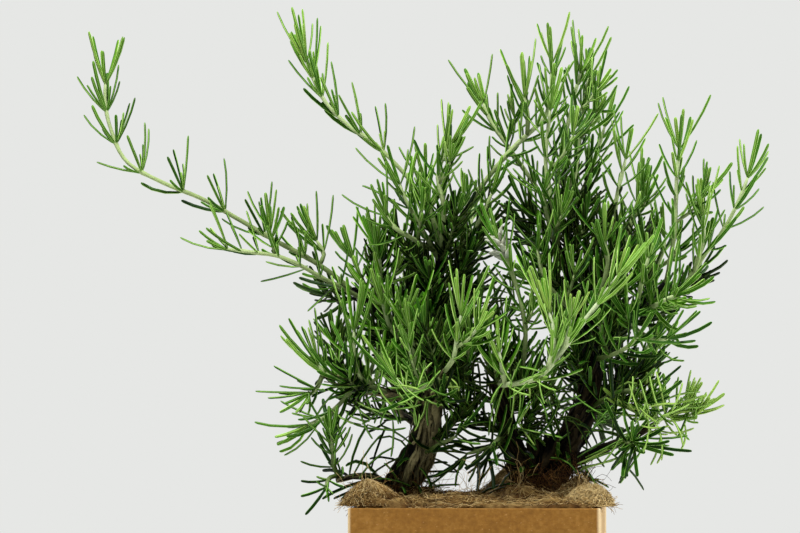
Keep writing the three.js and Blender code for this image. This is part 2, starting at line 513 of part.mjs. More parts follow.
function coirMulch() {
  const slab = new THREE.BoxGeometry(fillWidth, fillWidth, 1, coirCells, coirCells, 1);
  const position = slab.getAttribute('position');
  for (let i = 0; i < position.count; i += 1) {
    const [x, y] = [position.getX(i), position.getY(i)];
    position.setZ(i, position.getZ(i) > 0 ? coirHeight(x, y) : soilTop);
  }
  const mat = joined([solidOf(slab), ...rimTufts.map(({ at, size }) => tuftSolid(at, size))]);
  const soilKeepOut = squareBlock(2 * planterWidth, -planterHeight, soilTop + seat, planterCorner);
  const sideLimbs = limbs.filter((limb) => !limb.strands).flatMap((limb) => limbSolids(limb, woodSeat));
  const holes = Object.values(trunks).map(({ hole }) => coirHole(hole));
  return mainBody(mat.subtract(joined([planterKeepOut(), soilKeepOut, ...sideLimbs, ...holes])));
}

// Shoots
const capsules = []; // stretches of stem and needle already in place

function closestApproach(a, b, c, d) {
  const u = new THREE.Vector3().subVectors(b, a);
  const v = new THREE.Vector3().subVectors(d, c);
  const w = new THREE.Vector3().subVectors(a, c);
  const uu = u.dot(u);
  const uv = u.dot(v);
  const vv = v.dot(v);
  const spread = uu * vv - uv * uv;
  let s = spread > 1e-9 ? THREE.MathUtils.clamp((uv * v.dot(w) - vv * u.dot(w)) / spread, 0, 1) : 0;
  const t = THREE.MathUtils.clamp((uv * s + v.dot(w)) / vv, 0, 1);
  s = THREE.MathUtils.clamp((uv * t - u.dot(w)) / uu, 0, 1);
  return w.addScaledVector(u, s).addScaledVector(v, -t).length();
}

// Needles of one sprig may touch near their roots, so of those only the outer stretches are compared.
function isClear({ root, bend, tip }, owner) {
  const reach = needleWidth / 2;
  const start = root.clone().lerp(bend, sunkShare);
  const outer = root.clone().lerp(bend, ownRoots);
  return capsules.every((other) => {
    if (other.owner !== owner) {
      const room = reach + other.radius + needleClearance;
      return closestApproach(start, bend, other.from, other.to) > room
        && closestApproach(bend, tip, other.from, other.to) > room;
    }
    const room = other.isStem ? other.radius + ownStemGap : 2 * reach;
    return closestApproach(outer, bend, other.outer, other.to) > room
      && closestApproach(bend, tip, other.outer, other.to) > room;
  });
}

function addCapsules(curve, radius, steps, owner) {
  for (let i = 0; i < steps; i += 1) {
    const from = curve.getPointAt(i / steps);
    const to = curve.getPointAt((i + 1) / steps);
    capsules.push({ from, outer: from, to, radius: mix(...radius, i / steps), owner, isStem: true });
  }
}

// The places of a shoot's whorls, as distances from its tip.
function whorlPlaces({ bare, gap, length }) {
  const places = [];
  for (let away = 1, j = 0; away < length - bare; j += 1) {
    places.push(away);
    away += gap * mix(...gapByAge, Math.min(1, j / 3));
  }
  return places;
}

// One needle: its root, bend and tip. turn and open adjust its aim, in degrees.
function needleLine(shoot, j, k, away, turn, open, shrink) {
  const { index, stretches, radius, length, whorl, leaf, spread, lift } = shoot;
  const share = 1 - away / length;
  const travelled = share * stretches.length;
  const { from, to, along, side, depth } = stretches[Math.floor(travelled)];
  const outward = (degrees) => {
    const angle = THREE.MathUtils.degToRad(degrees);
    return side.clone().multiplyScalar(Math.cos(angle)).addScaledVector(depth, Math.sin(angle));
  };
  const place = 10 * j + k;
  const age = Math.min(1, j / 3);
  const face = 45 + (360 * k) / whorl + (whorl === 2 ? 90 * j : 0);
  const azimuth = face + turnWobble * (chance(index, place, 1) - 0.5) + turn;
  const wobble = openingWobble * (chance(index, place, 2) - 0.5);
  const opening = THREE.MathUtils.degToRad(mix(youngShare * spread, spread, age) + wobble + open);
  const usual = leaf * mix(...sizeByAge, Math.min(1, j / 2));
  const size = usual * mix(...sizeRange, chance(index, place, 3)) * shrink;
  const first = along.clone().multiplyScalar(Math.cos(opening))
    .addScaledVector(outward(azimuth), Math.sin(opening))
    .addScaledVector(up, lift * Math.sin(opening))
    .normalize();
  const curl = mix(...curlRange, chance(index, place, 4));
  const last = first.clone()
    .addScaledVector(along, bendTowards.stem * curl)
    .addScaledVector(up, bendTowards.up * curl)
    .normalize();
  const normal = outward(45 + 90 * Math.round((azimuth - 45) / 90));
  const reach = mix(...radius, share) * Math.SQRT1_2;
  const root = from.clone().lerp(to, travelled % 1).addScaledVector(normal, reach);
  root.addScaledVector(first, (-needleDepth * reach) / Math.max(0.3, first.dot(normal)));
  const bend = root.clone().addScaledVector(first, bendAt * size);
  const tip = bend.clone().addScaledVector(last, (1 - bendAt) * size);
  return { root, bend, tip, along };
}

// Three-sided needle, widest at its bend, flat on the side that faces the shoot's tip.
function needleSolid({ root, bend, tip, along }) {
  const cone = new THREE.ConeGeometry(1, 1, needleSides, 2);
  const direction = new THREE.Vector3().subVectors(tip, root).normalize();
  const under = direction.clone().multiplyScalar(along.dot(direction)).sub(along).normalize();
  const position = cone.getAttribute('position');
  const side = new THREE.Vector3().crossVectors(direction, under);
  for (let i = 0; i < position.count; i += 1) {
    const ring = Math.round(2 * (position.getY(i) + 0.5));
    const centre = [root, bend, tip][ring];
    const across = Math.hypot(position.getX(i), position.getZ(i)) > 1e-6 ? 1 : 0;
    const angle = Math.atan2(position.getZ(i), position.getX(i));
    const share = across * [needleRoot, 1, 0][ring];
    const width = (share * needleWidth) / 2 / Math.cos(Math.PI / 6);
    const thick = (share * needleThickness) / 1.5;
    const place = centre.clone()
      .addScaledVector(side, width * Math.cos(angle))
      .addScaledVector(under, thick * Math.sin(angle));
    position.setXYZ(i, place.x, place.y, place.z);
  }
  return solidOf(cone);
}

// Tries the needle as the rule places it, then turned and opened a little, until it is clear of other sprigs.
function placedNeedle(shoot, j, k, away) {
  for (const [turn, open, shrink] of tries) {
    const line = needleLine(shoot, j, k, away, turn, open, shrink);
    if (isClear(line, shoot.sprig)) {
      const outer = line.root.clone().lerp(line.bend, ownRoots);
      const shared = { radius: needleWidth / 2, owner: shoot.sprig };
      capsules.push({ from: line.root, outer, to: line.bend, ...shared });
      capsules.push({ from: line.bend, outer: line.bend, to: line.tip, ...shared });
      return needleSolid(line);
    }
  }
  return null;
}

// Assembly
const plant = new THREE.Group();
limbs.forEach((limb) => curves.set(limb.name, growthLine(limb)));
const wood = Object.keys(trunks).map((name) => [name, trunkSolid(name, 0)]);
const grownWood = joined(Object.keys(trunks).map((name) => trunkSolid(name, woodSeat)));

limbs.forEach((limb) => {
  const radius = limb.radius.map((size, end) => size + (limb.strands ? limb.offset * strandSpread[end] : 0));
  addCapsules(curves.get(limb.name), radius, 2 * limb.path.length, 'wood');
});
shoots.forEach((shoot, index) => {
  Object.assign(shoot, { ...shootDefaults, ...shoot, index, name: shoot.name || shoot.sprig });
  shoot.curve = growthLine(shoot);
  shoot.length = shoot.curve.getLength();
  shoot.steps = Math.ceil(shoot.length / stemStep);
  shoot.stretches = stretchesOf(shoot.curve, shoot.steps);
  curves.set(shoot.name, shoot.curve);
  addCapsules(shoot.curve, shoot.radius, shoot.path.length * 2, shoot.sprig);
  shoot.whorls = whorlPlaces(shoot);
  shoot.needles = [];
});

// Needles go on from the tips inwards, one whorl of every shoot at a time, so that every tip is leafy.
const mostWhorls = Math.max(...shoots.map((shoot) => shoot.whorls.length));
for (let j = 0; j < mostWhorls; j += 1) {
  for (const shoot of shoots) {
    if (j >= shoot.whorls.length) continue;
    for (let k = 0; k < shoot.whorl; k += 1) {
      const needle = placedNeedle(shoot, j, k, shoot.whorls[j]);
      if (needle) shoot.needles.push(needle);
    }
  }
}

plant.add(meshOf('planter', planter(), looks.kraft));
plant.add(meshOf('soil', soil(), looks.soil));
plant.add(meshOf('coir_mulch', coirMulch(), looks.coir));
wood.forEach(([name, solid]) => plant.add(meshOf(name, solid, looks.bark)));
const sprigNames = [...new Set(shoots.map((shoot) => shoot.sprig))];
for (const sprig of sprigNames) {
  const members = shoots.filter((shoot) => shoot.sprig === sprig);
  const stems = members.map((shoot) => tube(shoot.curve, shoot.radius, stemSides, shoot.steps));
  const leafy = joined([...stems, ...members.flatMap((shoot) => shoot.needles)]);
  plant.add(meshOf(`sprig_${sprig}`, mainBody(leafy.subtract(grownWood)), looks.leaf));
}

export default plant;
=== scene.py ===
import bisect
import math
import bmesh
import bpy
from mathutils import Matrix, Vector, noise


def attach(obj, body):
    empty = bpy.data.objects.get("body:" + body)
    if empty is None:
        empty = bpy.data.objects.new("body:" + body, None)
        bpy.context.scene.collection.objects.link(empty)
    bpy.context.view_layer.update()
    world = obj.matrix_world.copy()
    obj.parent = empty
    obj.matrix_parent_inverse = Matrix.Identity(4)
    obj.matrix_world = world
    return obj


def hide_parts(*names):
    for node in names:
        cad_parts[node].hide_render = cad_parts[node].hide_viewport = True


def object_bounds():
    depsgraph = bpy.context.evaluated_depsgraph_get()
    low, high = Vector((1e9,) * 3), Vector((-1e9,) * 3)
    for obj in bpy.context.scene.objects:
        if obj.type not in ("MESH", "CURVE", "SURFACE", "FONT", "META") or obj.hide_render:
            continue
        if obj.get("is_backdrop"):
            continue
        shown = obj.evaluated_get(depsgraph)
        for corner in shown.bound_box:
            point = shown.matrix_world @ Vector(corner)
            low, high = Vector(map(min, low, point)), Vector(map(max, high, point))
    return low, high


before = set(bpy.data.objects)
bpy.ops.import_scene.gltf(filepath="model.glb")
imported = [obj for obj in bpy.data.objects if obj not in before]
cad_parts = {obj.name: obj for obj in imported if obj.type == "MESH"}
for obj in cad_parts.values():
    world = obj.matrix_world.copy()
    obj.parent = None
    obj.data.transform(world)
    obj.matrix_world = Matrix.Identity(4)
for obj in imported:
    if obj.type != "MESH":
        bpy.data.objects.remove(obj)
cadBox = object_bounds()
noise.seed_set(1)  # or else noise_vector starts from the clock
print("frame loaded:", len(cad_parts), "solids")

# Shapes and tables are in millimetres until a piece is finished, and angles in degrees.
mm = 0.001
up = Vector((0, 0, 1))
nearby = 1e-4  # corners closer than this are merged
aside = Vector((0.35, -0.9, 0.25)).normalized()  # no stem runs along this


def chance(plant, place, what):
    # a seeded draw between 0 and 1 that depends only on what it is for
    s = math.sin(plant * 127.1 + place * 311.7 + what * 74.7) * 43758.5453
    return s - math.floor(s)


def mix(a, b, share):
    return a + (b - a) * share


def clamp(value, low=0.0, high=1.0):
    return max(low, min(high, value))


def lineThrough(points, marks=200):
    # a smooth line through the points: gives the place at a share of its length, and that length
    knots = [Vector(p) for p in points]
    spans = len(knots) - 1
    knots = [2 * knots[0] - knots[1]] + knots + [2 * knots[-1] - knots[-2]]

    def at(t):
        span = min(int(t * spans), spans - 1)
        w = t * spans - span
        before, start, end, after = knots[span:span + 4]
        leave, arrive = (end - before) / 2, (after - start) / 2
        square = 3 * (end - start) - 2 * leave - arrive
        return start + leave * w + square * w * w + (2 * (start - end) + leave + arrive) * w ** 3

    places = [at(i / marks) for i in range(marks + 1)]
    sums = [0.0]
    for a, b in zip(places, places[1:]):
        sums.append(sums[-1] + (b - a).length)

    def place(share):
        goal = clamp(share) * sums[-1]
        i = min(bisect.bisect_right(sums, goal) - 1, marks - 1)
        return at((i + (goal - sums[i]) / (sums[i + 1] - sums[i])) / marks)

    return place, sums[-1]


def stretchesOf(place, steps):
    # straight stretches of a line: start, direction along it, and two directions across, carried on untwisted
    stretches = []
    side = None
    for i in range(steps):
        start, end = place(i / steps), place((i + 1) / steps)
        along = (end - start).normalized()
        side = along.cross(aside) if side is None else side - along * along.dot(side)
        side = side.normalized()
        stretches.append((start, along, side, side.cross(along)))
    return stretches


def outwardAt(side, depth, degrees):
    # the direction across a stretch that lies at an angle round it
    angle = math.radians(degrees)
    return side * math.cos(angle) + depth * math.sin(angle)


# Meshes
def newPiece():
    bm = bmesh.new()
    bm.loops.layers.uv.new("UVMap")
    bm.verts.layers.float.new("tone")
    return bm


def rollTube(bm, around, steps, cornerAt, slot=0, toneAt=None):
    # a grid rolled into a closed tube; cornerAt(i, j) is where corner i of ring j goes
    tone = bm.verts.layers.float["tone"]
    grid = bmesh.ops.create_grid(bm, x_segments=around, y_segments=steps, size=1, calc_uvs=True)["verts"]
    seam = []
    for vert in grid:
        i = round((vert.co.x + 1) / 2 * around)
        j = round((vert.co.y + 1) / 2 * steps)
        vert.co = cornerAt(i % around, j)
        if toneAt:
            vert[tone] = toneAt(i % around, j)
        if i in (0, around):
            seam.append(vert)
    bmesh.ops.remove_doubles(bm, verts=seam, dist=nearby)
    verts = [vert for vert in grid if vert.is_valid]
    rims = {edge for vert in verts for edge in vert.link_edges if edge.is_boundary}
    bmesh.ops.holes_fill(bm, edges=list(rims), sides=0)
    for face in {face for vert in verts for face in vert.link_faces}:
        face.material_index = slot
        face.smooth = True
    return verts


def newTemplate(name, section, rings, widths):
    # a small closed shape to be bent and repeated; its plan gives each corner's ring and place across
    spacing = 10
    bm = newPiece()
    around = len(section)

    def cornerAt(i, j):
        return Vector((section[i][0] * widths[j], rings[j] * spacing, section[i][1] * widths[j]))

    verts = rollTube(bm, around, len(rings) - 1, cornerAt)
    ends = [vert for vert in verts if abs(vert.co.x) + abs(vert.co.z) < 1e-6]
    if ends:
        bmesh.ops.remove_doubles(bm, verts=ends, dist=nearby)
    bmesh.ops.recalc_face_normals(bm, faces=bm.faces)
    mesh = bpy.data.meshes.new(name)
    bm.to_mesh(mesh)
    bm.free()
    plan = []
    for vert in mesh.vertices:
        ring = min(range(len(rings)), key=lambda j: abs(rings[j] * spacing - vert.co.y))
        width = widths[ring] or 1
        plan.append((ring, vert.co.x / width, vert.co.z / width))
    return {"mesh": mesh, "plan": plan, "rings": rings, "widths": widths}


def closeRanks(bm):
    # puts the corners in unbroken order after a merge, so that what is added next comes last
    spare = bpy.data.meshes.new("spare")
    bm.to_mesh(spare)
    bm.clear()
    bm.from_mesh(spare)
    bpy.data.meshes.remove(spare)


def addCopy(bm, template, stations, toneValue, slot=0):
    # stations give each ring's centre and its reach across and through
    tone = bm.verts.layers.float["tone"]
    vertCount, faceCount = len(bm.verts), len(bm.faces)
    bm.from_mesh(template["mesh"])
    bm.verts.ensure_lookup_table()
    for vert, (ring, x, z) in zip(bm.verts[vertCount:], template["plan"]):
        centre, across, through = stations[ring]
        vert.co = centre + across * x + through * z
        vert[tone] = toneValue
    if slot:
        bm.faces.ensure_lookup_table()
        for face in bm.faces[faceCount:]:
            face.material_index = slot


def finishPiece(name, bm, finishes, nodes=()):
    # makes the object, in metres, in the place of the solids that it stands for
    bmesh.ops.recalc_face_normals(bm, faces=bm.faces)
    bmesh.ops.scale(bm, vec=(mm, mm, mm), verts=bm.verts)
    mesh = bpy.data.meshes.new(name)
    bm.to_mesh(mesh)
    bm.free()
    for finish in finishes:
        mesh.materials.append(finish)
    piece = bpy.data.objects.new(name, mesh)
    bpy.context.scene.collection.objects.link(piece)
    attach(piece, "root")
    if nodes:
        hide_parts(*nodes)


# Finishes
def colour(red, green, blue):
    # from screen values of 0 to 255 to the light values that materials use
    values = (c / 255 for c in (red, green, blue))
    return tuple(((v + 0.055) / 1.055) ** 2.4 if v > 10 / 255 else v / 12.92 for v in values) + (1,)


def grey(level):
    return level, level, level, 1


def makeMottle():
    # uneven patches with a finer grain in them, for every finish
    group = bpy.data.node_groups.new("mottle", "ShaderNodeTree")
    group.interface.new_socket(name="Vector", in_out="INPUT", socket_type="NodeSocketVector")
    for title, start in (("Patch Scale", 40), ("Grain Scale", 800), ("Grain Share", 0.5)):
        socket = group.interface.new_socket(name=title, in_out="INPUT", socket_type="NodeSocketFloat")
        socket.default_value = start
    group.interface.new_socket(name="Value", in_out="OUTPUT", socket_type="NodeSocketFloat")
    inside, outside = group.nodes.new("NodeGroupInput"), group.nodes.new("NodeGroupOutput")
    patch, grain = group.nodes.new("ShaderNodeTexNoise"), group.nodes.new("ShaderNodeTexNoise")
    patch.inputs["Detail"].default_value = 4
    grain.inputs["Detail"].default_value = 3
    blend = group.nodes.new("ShaderNodeMix")
    for texture, title in ((patch, "Patch Scale"), (grain, "Grain Scale")):
        group.links.new(inside.outputs["Vector"], texture.inputs["Vector"])
        group.links.new(inside.outputs[title], texture.inputs["Scale"])
    group.links.new(inside.outputs["Grain Share"], blend.inputs[0])
    group.links.new(patch.outputs["Fac"], blend.inputs[2])
    group.links.new(grain.outputs["Fac"], blend.inputs[3])
    group.links.new(blend.outputs[0], outside.inputs["Value"])
    return group


mottle = makeMottle()


class Finish:
    # a material with a few shorthands for its nodes
    def __init__(self, name, roughness, specular=0.3):
        self.material = bpy.data.materials.new(name)
        self.material.use_nodes = True
        self.nodes = self.material.node_tree.nodes
        self.shader = self.nodes["Principled BSDF"]
        self.shader.inputs["Roughness"].default_value = roughness
        self.shader.inputs["Specular IOR Level"].default_value = specular
        self.place = self.nodes.new("ShaderNodeTexCoord")

    def link(self, output, target):
        self.material.node_tree.links.new(output, target)

    def fill(self, node, values):
        # each input gets a fixed value, or a link where the value is another node's output
        for number, value in values:
            if isinstance(value, bpy.types.NodeSocket):
                self.link(value, node.inputs[number])
            else:
                node.inputs[number].default_value = value

    def stretched(self, output, scale):
        node = self.nodes.new("ShaderNodeMapping")
        node.inputs["Scale"].default_value = scale
        self.link(output, node.inputs["Vector"])
        return node.outputs["Vector"]

    def mottled(self, patchScale, grainScale, grainShare, vector=None):
        node = self.nodes.new("ShaderNodeGroup")
        node.node_tree = mottle
        node.inputs["Patch Scale"].default_value = patchScale
        node.inputs["Grain Scale"].default_value = grainScale
        node.inputs["Grain Share"].default_value = grainShare
        self.link(vector or self.place.outputs["Object"], node.inputs["Vector"])
        return node.outputs["Value"]

    def toned(self):
        node = self.nodes.new("ShaderNodeAttribute")
        node.attribute_name = "tone"
        return node.outputs["Fac"]

    def ramp(self, value, stops):
        node = self.nodes.new("ShaderNodeValToRGB")
        points = node.color_ramp.elements
        while len(points) < len(stops):
            points.new(0.5)
        for point, (where, shade) in zip(points, stops):
            point.position = where
            point.color = shade
        self.link(value, node.inputs["Fac"])
        return node.outputs["Color"]

    def mixed(self, share, first, second, way="MIX"):
        node = self.nodes.new("ShaderNodeMix")
        node.data_type = "RGBA"
        node.blend_type = way
        self.fill(node, ((0, share), (6, first), (7, second)))
        return node.outputs[2]

    def speckled(self, patchScale, grainScale, grainShare, low, high):
        # the mottle turned into shades of grey between two levels
        patches = self.mottled(patchScale, grainScale, grainShare)
        return self.ramp(patches, [(low[0], grey(low[1])), (high[0], grey(high[1]))])

    def sums(self, way, first, second):
        node = self.nodes.new("ShaderNodeMath")
        node.operation = way
        self.fill(node, enumerate((first, second)))
        return node.outputs[0]

    def painted(self, output):
        self.link(output, self.shader.inputs["Base Color"])

    def bumped(self, output, strength, distance):
        node = self.nodes.new("ShaderNodeBump")
        node.inputs["Strength"].default_value = strength
        node.inputs["Distance"].default_value = distance
        self.link(output, node.inputs["Height"])
        self.link(node.outputs["Normal"], self.shader.inputs["Normal"])


# Round a leaf: pale rolled edge, green upper side with its groove, pale edge, felted underside with a rib.
# The pale edges are the felted margin rolled over, with a painted highlight on it: the glint along the glossy
# rolled edge. margin says how far from the edge its pale colour begins to fade and where it ends.
leafGreens = {
    "old": {"margin": (0.065, 0.12), "edge": (150, 196, 96), "fading": (50, 106, 22), "upper": (8, 52, 0),
            "beside": (8, 54, 0), "groove": (40, 88, 18), "under": (24, 82, 3), "low": (22, 78, 2),
            "rib": (98, 148, 56)},
    "young": {"margin": (0.075, 0.14), "edge": (238, 246, 210), "fading": (160, 200, 88),
              "upper": (66, 118, 10), "beside": (74, 126, 14), "groove": (168, 206, 104),
              "under": (116, 162, 46), "low": (110, 156, 42), "rib": (216, 230, 172)},
    "backlitPale": (166, 182, 108), "root": (130, 166, 84), "tip": (96, 74, 34),
}


def leafRamp(finish, around, greens):
    fade, end = greens["margin"]
    turn = 0.667  # where the underside begins
    stops = [(0, "edge"), (fade, "fading"), (end, "upper"), (0.3, "beside"), (0.333, "groove"),
             (0.366, "beside"), (turn - end, "upper"), (turn - fade, "fading"), (turn, "edge"),
             (0.7, "under"), (0.79, "low"), (0.833, "rib"), (0.876, "low"), (0.967, "under"), (1, "edge")]
    return finish.ramp(around, [(where, colour(*greens[title])) for where, title in stops])


def makeLeafFinish():
    finish = Finish("rosemaryLeaf", 0.46, 0.08)
    split = finish.nodes.new("ShaderNodeSeparateXYZ")
    finish.link(finish.place.outputs["UV"], split.inputs[0])
    around, along = split.outputs["X"], split.outputs["Y"]
    age = finish.ramp(finish.toned(), [(0, grey(0)), (1, grey(1))])
    leaf = finish.mixed(age, *(leafRamp(finish, around, leafGreens[title]) for title in ("old", "young")))
    # a tone above 1 paints a leaf pale olive: the pale felted look of thin outer leaves, with painted
    # backlight glow from light shining through them
    backlitPale = finish.ramp(finish.sums("SUBTRACT", finish.toned(), 1), [(0, grey(0)), (0.6, grey(0.55))])
    leaf = finish.mixed(backlitPale, leaf, colour(*leafGreens["backlitPale"]))
    leaf = finish.mixed(1.0, leaf, finish.speckled(34, 220, 0.4, (0.3, 0.64), (0.7, 1.28)), "MULTIPLY")
    # painted shade: leaves with a tone near 0, set deep in the bush, between the trunks and at their feet,
    # are multiplied down to a near-black olive
    oldest = finish.ramp(finish.toned(), [(0, (0.34, 0.24, 0.2, 1)), (0.12, (0.86, 1, 0.6, 1))])
    leaf = finish.mixed(1.0, leaf, oldest, "MULTIPLY")
    root = finish.ramp(along, [(0, grey(0.7)), (0.14, grey(0))])
    leaf = finish.mixed(root, leaf, colour(*leafGreens["root"]))
    tip = finish.ramp(along, [(0.965, grey(0)), (0.985, grey(0.8))])
    finish.painted(finish.mixed(tip, leaf, colour(*leafGreens["tip"])))
    finish.bumped(finish.mottled(300, 1500, 0.4), 0.1, 0.0003)
    return finish.material


def makeStemFinish():
    finish = Finish("greenStem", 0.75, 0.2)
    bark = finish.ramp(finish.toned(), [
        (0, colour(26, 32, 8)), (0.3, colour(66, 86, 30)), (0.55, colour(160, 180, 118)),
        (1, colour(206, 218, 178))])
    felt = finish.speckled(120, 1400, 0.55, (0.32, 0.68), (0.68, 1.25))
    finish.painted(finish.mixed(1.0, bark, felt, "MULTIPLY"))
    finish.bumped(finish.mottled(500, 1800, 0.5), 0.6, 0.0006)
    return finish.material


def makeBarkFinish(name, deep, middle, high):
    finish = Finish(name, 0.8, 0.08)
    streaks = finish.mottled(7, 34, 0.55, finish.stretched(finish.place.outputs["UV"], (9, 1.2, 1)))
    # the ridges, which tone tells, are paler than the fissures: a painted highlight on the ridges and painted
    # shade in the fissures, over the bark's own streaks
    ridges = finish.sums("MULTIPLY", finish.toned(), 0.55)
    height = finish.sums("ADD", ridges, finish.sums("MULTIPLY", streaks, 0.6))
    wood = finish.ramp(height, [(0.42, deep), (0.56, middle), (0.76, high)])
    patches = finish.speckled(70, 700, 0.5, (0.3, 0.6), (0.7, 1.3))
    finish.painted(finish.mixed(1.0, wood, patches, "MULTIPLY"))
    finish.bumped(finish.mottled(260, 900, 0.5), 0.9, 0.0012)
    return finish.material


def makeCoirFinish(name, shade):
    finish = Finish(name, 0.9, 0.12)
    fibres = finish.ramp(finish.toned(), [
        (0, colour(40, 18, 9)), (0.25, colour(112, 78, 36)), (0.55, colour(182, 150, 90)),
        (1, colour(226, 202, 146))])
    patches = finish.speckled(50, 900, 0.5, (0.3, 0.7 * shade), (0.7, 1.2 * shade))
    finish.painted(finish.mixed(1.0, fibres, patches, "MULTIPLY"))
    finish.bumped(finish.mottled(600, 1900, 0.6), 0.8, 0.0015)
    return finish.material


def makeKraftFinish():
    finish = Finish("kraftBoard", 0.8, 0.2)
    where = finish.place.outputs["Object"]
    board = finish.ramp(finish.mottled(22, 420, 0.6), [
        (0.34, colour(114, 76, 24)), (0.5, colour(127, 87, 30)), (0.66, colour(140, 100, 42))])
    streaks = finish.mottled(300, 1100, 0.5, finish.stretched(where, (0.35, 0.35, 1)))
    board = finish.mixed(1.0, board, finish.ramp(streaks, [(0.3, grey(0.9)), (0.7, grey(1.1))]), "MULTIPLY")
    # painted light: both side walls are painted pale, strongest at the upright corners and fading towards the
    # middle of each side, the light from the right on top of some rubbed wear at the corners
    split = finish.nodes.new("ShaderNodeSeparateXYZ")
    finish.link(where, split.inputs[0])
    wide, deep = (finish.sums("MULTIPLY", finish.sums("ABSOLUTE", split.outputs[axis], 0), 10)
                  for axis in "XY")
    sideLightAndWear = finish.sums("MULTIPLY", finish.ramp(wide, [(0.728, grey(0)), (0.744, grey(0.85))]),
                       finish.ramp(deep, [(0.2, grey(0.45)), (0.72, grey(1))]))
    board = finish.mixed(sideLightAndWear, board, colour(214, 190, 146))
    specks = finish.ramp(finish.mottled(620, 1500, 0.35), [(0.61, grey(0)), (0.67, grey(0.75))])
    board = finish.mixed(specks, board, colour(112, 74, 34))
    pale = finish.mottled(480, 1300, 0.3, finish.stretched(where, (1, 1, 1.4)))
    board = finish.mixed(finish.ramp(pale, [(0.62, grey(0)), (0.7, grey(0.5))]), board, colour(214, 176, 118))
    finish.painted(board)
    finish.bumped(finish.mottled(350, 1500, 0.6), 0.5, 0.0006)
    return finish.material


def makeSoilFinish():
    finish = Finish("pottingSoil", 0.95, 0.15)
    crumbs = finish.mottled(160, 900, 0.5)
    finish.painted(finish.ramp(crumbs, [(0.35, colour(34, 24, 17)), (0.65, colour(84, 62, 44))]))
    finish.bumped(crumbs, 1.0, 0.003)
    return finish.material


def makeBudFinish():
    finish = Finish("driedBud", 0.8, 0.2)
    husk = finish.ramp(finish.mottled(180, 1500, 0.5), [
        (0.32, colour(140, 142, 120)), (0.5, colour(186, 190, 168)), (0.68, colour(224, 228, 212))])
    finish.painted(husk)
    finish.bumped(finish.mottled(700, 2200, 0.5), 0.7, 0.0006)
    return finish.material


finishes = {
    "leaf": makeLeafFinish(),
    "stem": makeStemFinish(),
    "barkLeft": makeBarkFinish("greyBark", colour(6, 5, 3), colour(46, 42, 26), colour(146, 138, 98)),
    "barkRight": makeBarkFinish("darkBark", colour(4, 4, 2), colour(13, 10, 6), colour(52, 44, 28)),
    "coir": makeCoirFinish("coirFibre", 1.0),
    # the mat under the loose fibres is the same coir painted darker: painted shade beneath the fibres
    "coirMat": makeCoirFinish("coirMat", 0.55),
    "kraft": makeKraftFinish(),
    "soil": makeSoilFinish(),
    "bud": makeBudFinish(),
}
print("finishes made:", len(finishes))

# Planter
planter = {"width": 150, "height": 140, "wall": 5, "floor": 6, "corner": 1.5, "rimRound": 0.8, "cuts": 8,
           "wobble": 0.25, "wave": 34, "rimDip": 0.8, "rimZone": 40, "largestRounded": 60}


def roundEdges(bm, edges, reach):
    bmesh.ops.bevel(bm, geom=edges, offset=reach, offset_type="OFFSET", segments=3, profile=0.5,
                    affect="EDGES", material=-1)


def makePlanter():
    bm = newPiece()
    bmesh.ops.create_cube(bm, size=1, calc_uvs=True)
    bmesh.ops.scale(bm, vec=(planter["width"], planter["width"], planter["height"]), verts=bm.verts)
    bmesh.ops.translate(bm, vec=(0, 0, planter["height"] / 2), verts=bm.verts)
    top = max(bm.faces, key=lambda face: face.calc_center_median().z)
    bmesh.ops.inset_region(bm, faces=[top], thickness=planter["wall"], use_even_offset=True)
    hollow = bmesh.ops.extrude_face_region(bm, geom=[top])["geom"]
    sunk = [item for item in hollow if isinstance(item, bmesh.types.BMVert)]
    bmesh.ops.translate(bm, vec=(0, 0, planter["floor"] - planter["height"]), verts=sunk)
    bmesh.ops.delete(bm, geom=[top], context="FACES")
    roundEdges(bm, [edge for edge in bm.edges if abs(edge.verts[0].co.z - edge.verts[1].co.z) > 1],
               planter["corner"])
    roundEdges(bm, [edge for edge in bm.edges if abs(edge.verts[0].co.z - edge.verts[1].co.z) < 0.1
                    and not edge.is_boundary and edge.calc_face_angle(0) > 0.8], planter["rimRound"])
    # pressed board is never quite flat: cuts across the walls let them bow a little
    for k in range(1, planter["cuts"]):
        for axis in range(3):
            reach = planter["height"] if axis == 2 else planter["width"]
            point, normal = Vector(), Vector()
            point[axis] = reach * k / planter["cuts"] - (0 if axis == 2 else reach / 2)
            normal[axis] = 1
            everything = list(bm.verts) + list(bm.edges) + list(bm.faces)
            bmesh.ops.bisect_plane(bm, geom=everything, dist=0.01, plane_co=point, plane_no=normal)
    for vert in bm.verts:
        if vert.co.z > 1:
            drift = noise.noise_vector(vert.co / planter["wave"]) * planter["wobble"]
            pull = Vector((vert.co.x, vert.co.y, 0)).normalized()
            nearRim = clamp((vert.co.z - planter["height"]) / planter["rimZone"] + 1)
            vert.co -= pull * abs(drift.x) + up * (abs(drift.z) * planter["rimDip"] * nearRim)
    for face in bm.faces:
        face.smooth = face.calc_area() < planter["largestRounded"]
    finishPiece("planterBox", bm, [finishes["kraft"]], ["planter"])


makePlanter()
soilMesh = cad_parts["soil"].data
soilMesh.materials.clear()
soilMesh.materials.append(finishes["soil"])
print("planter made")
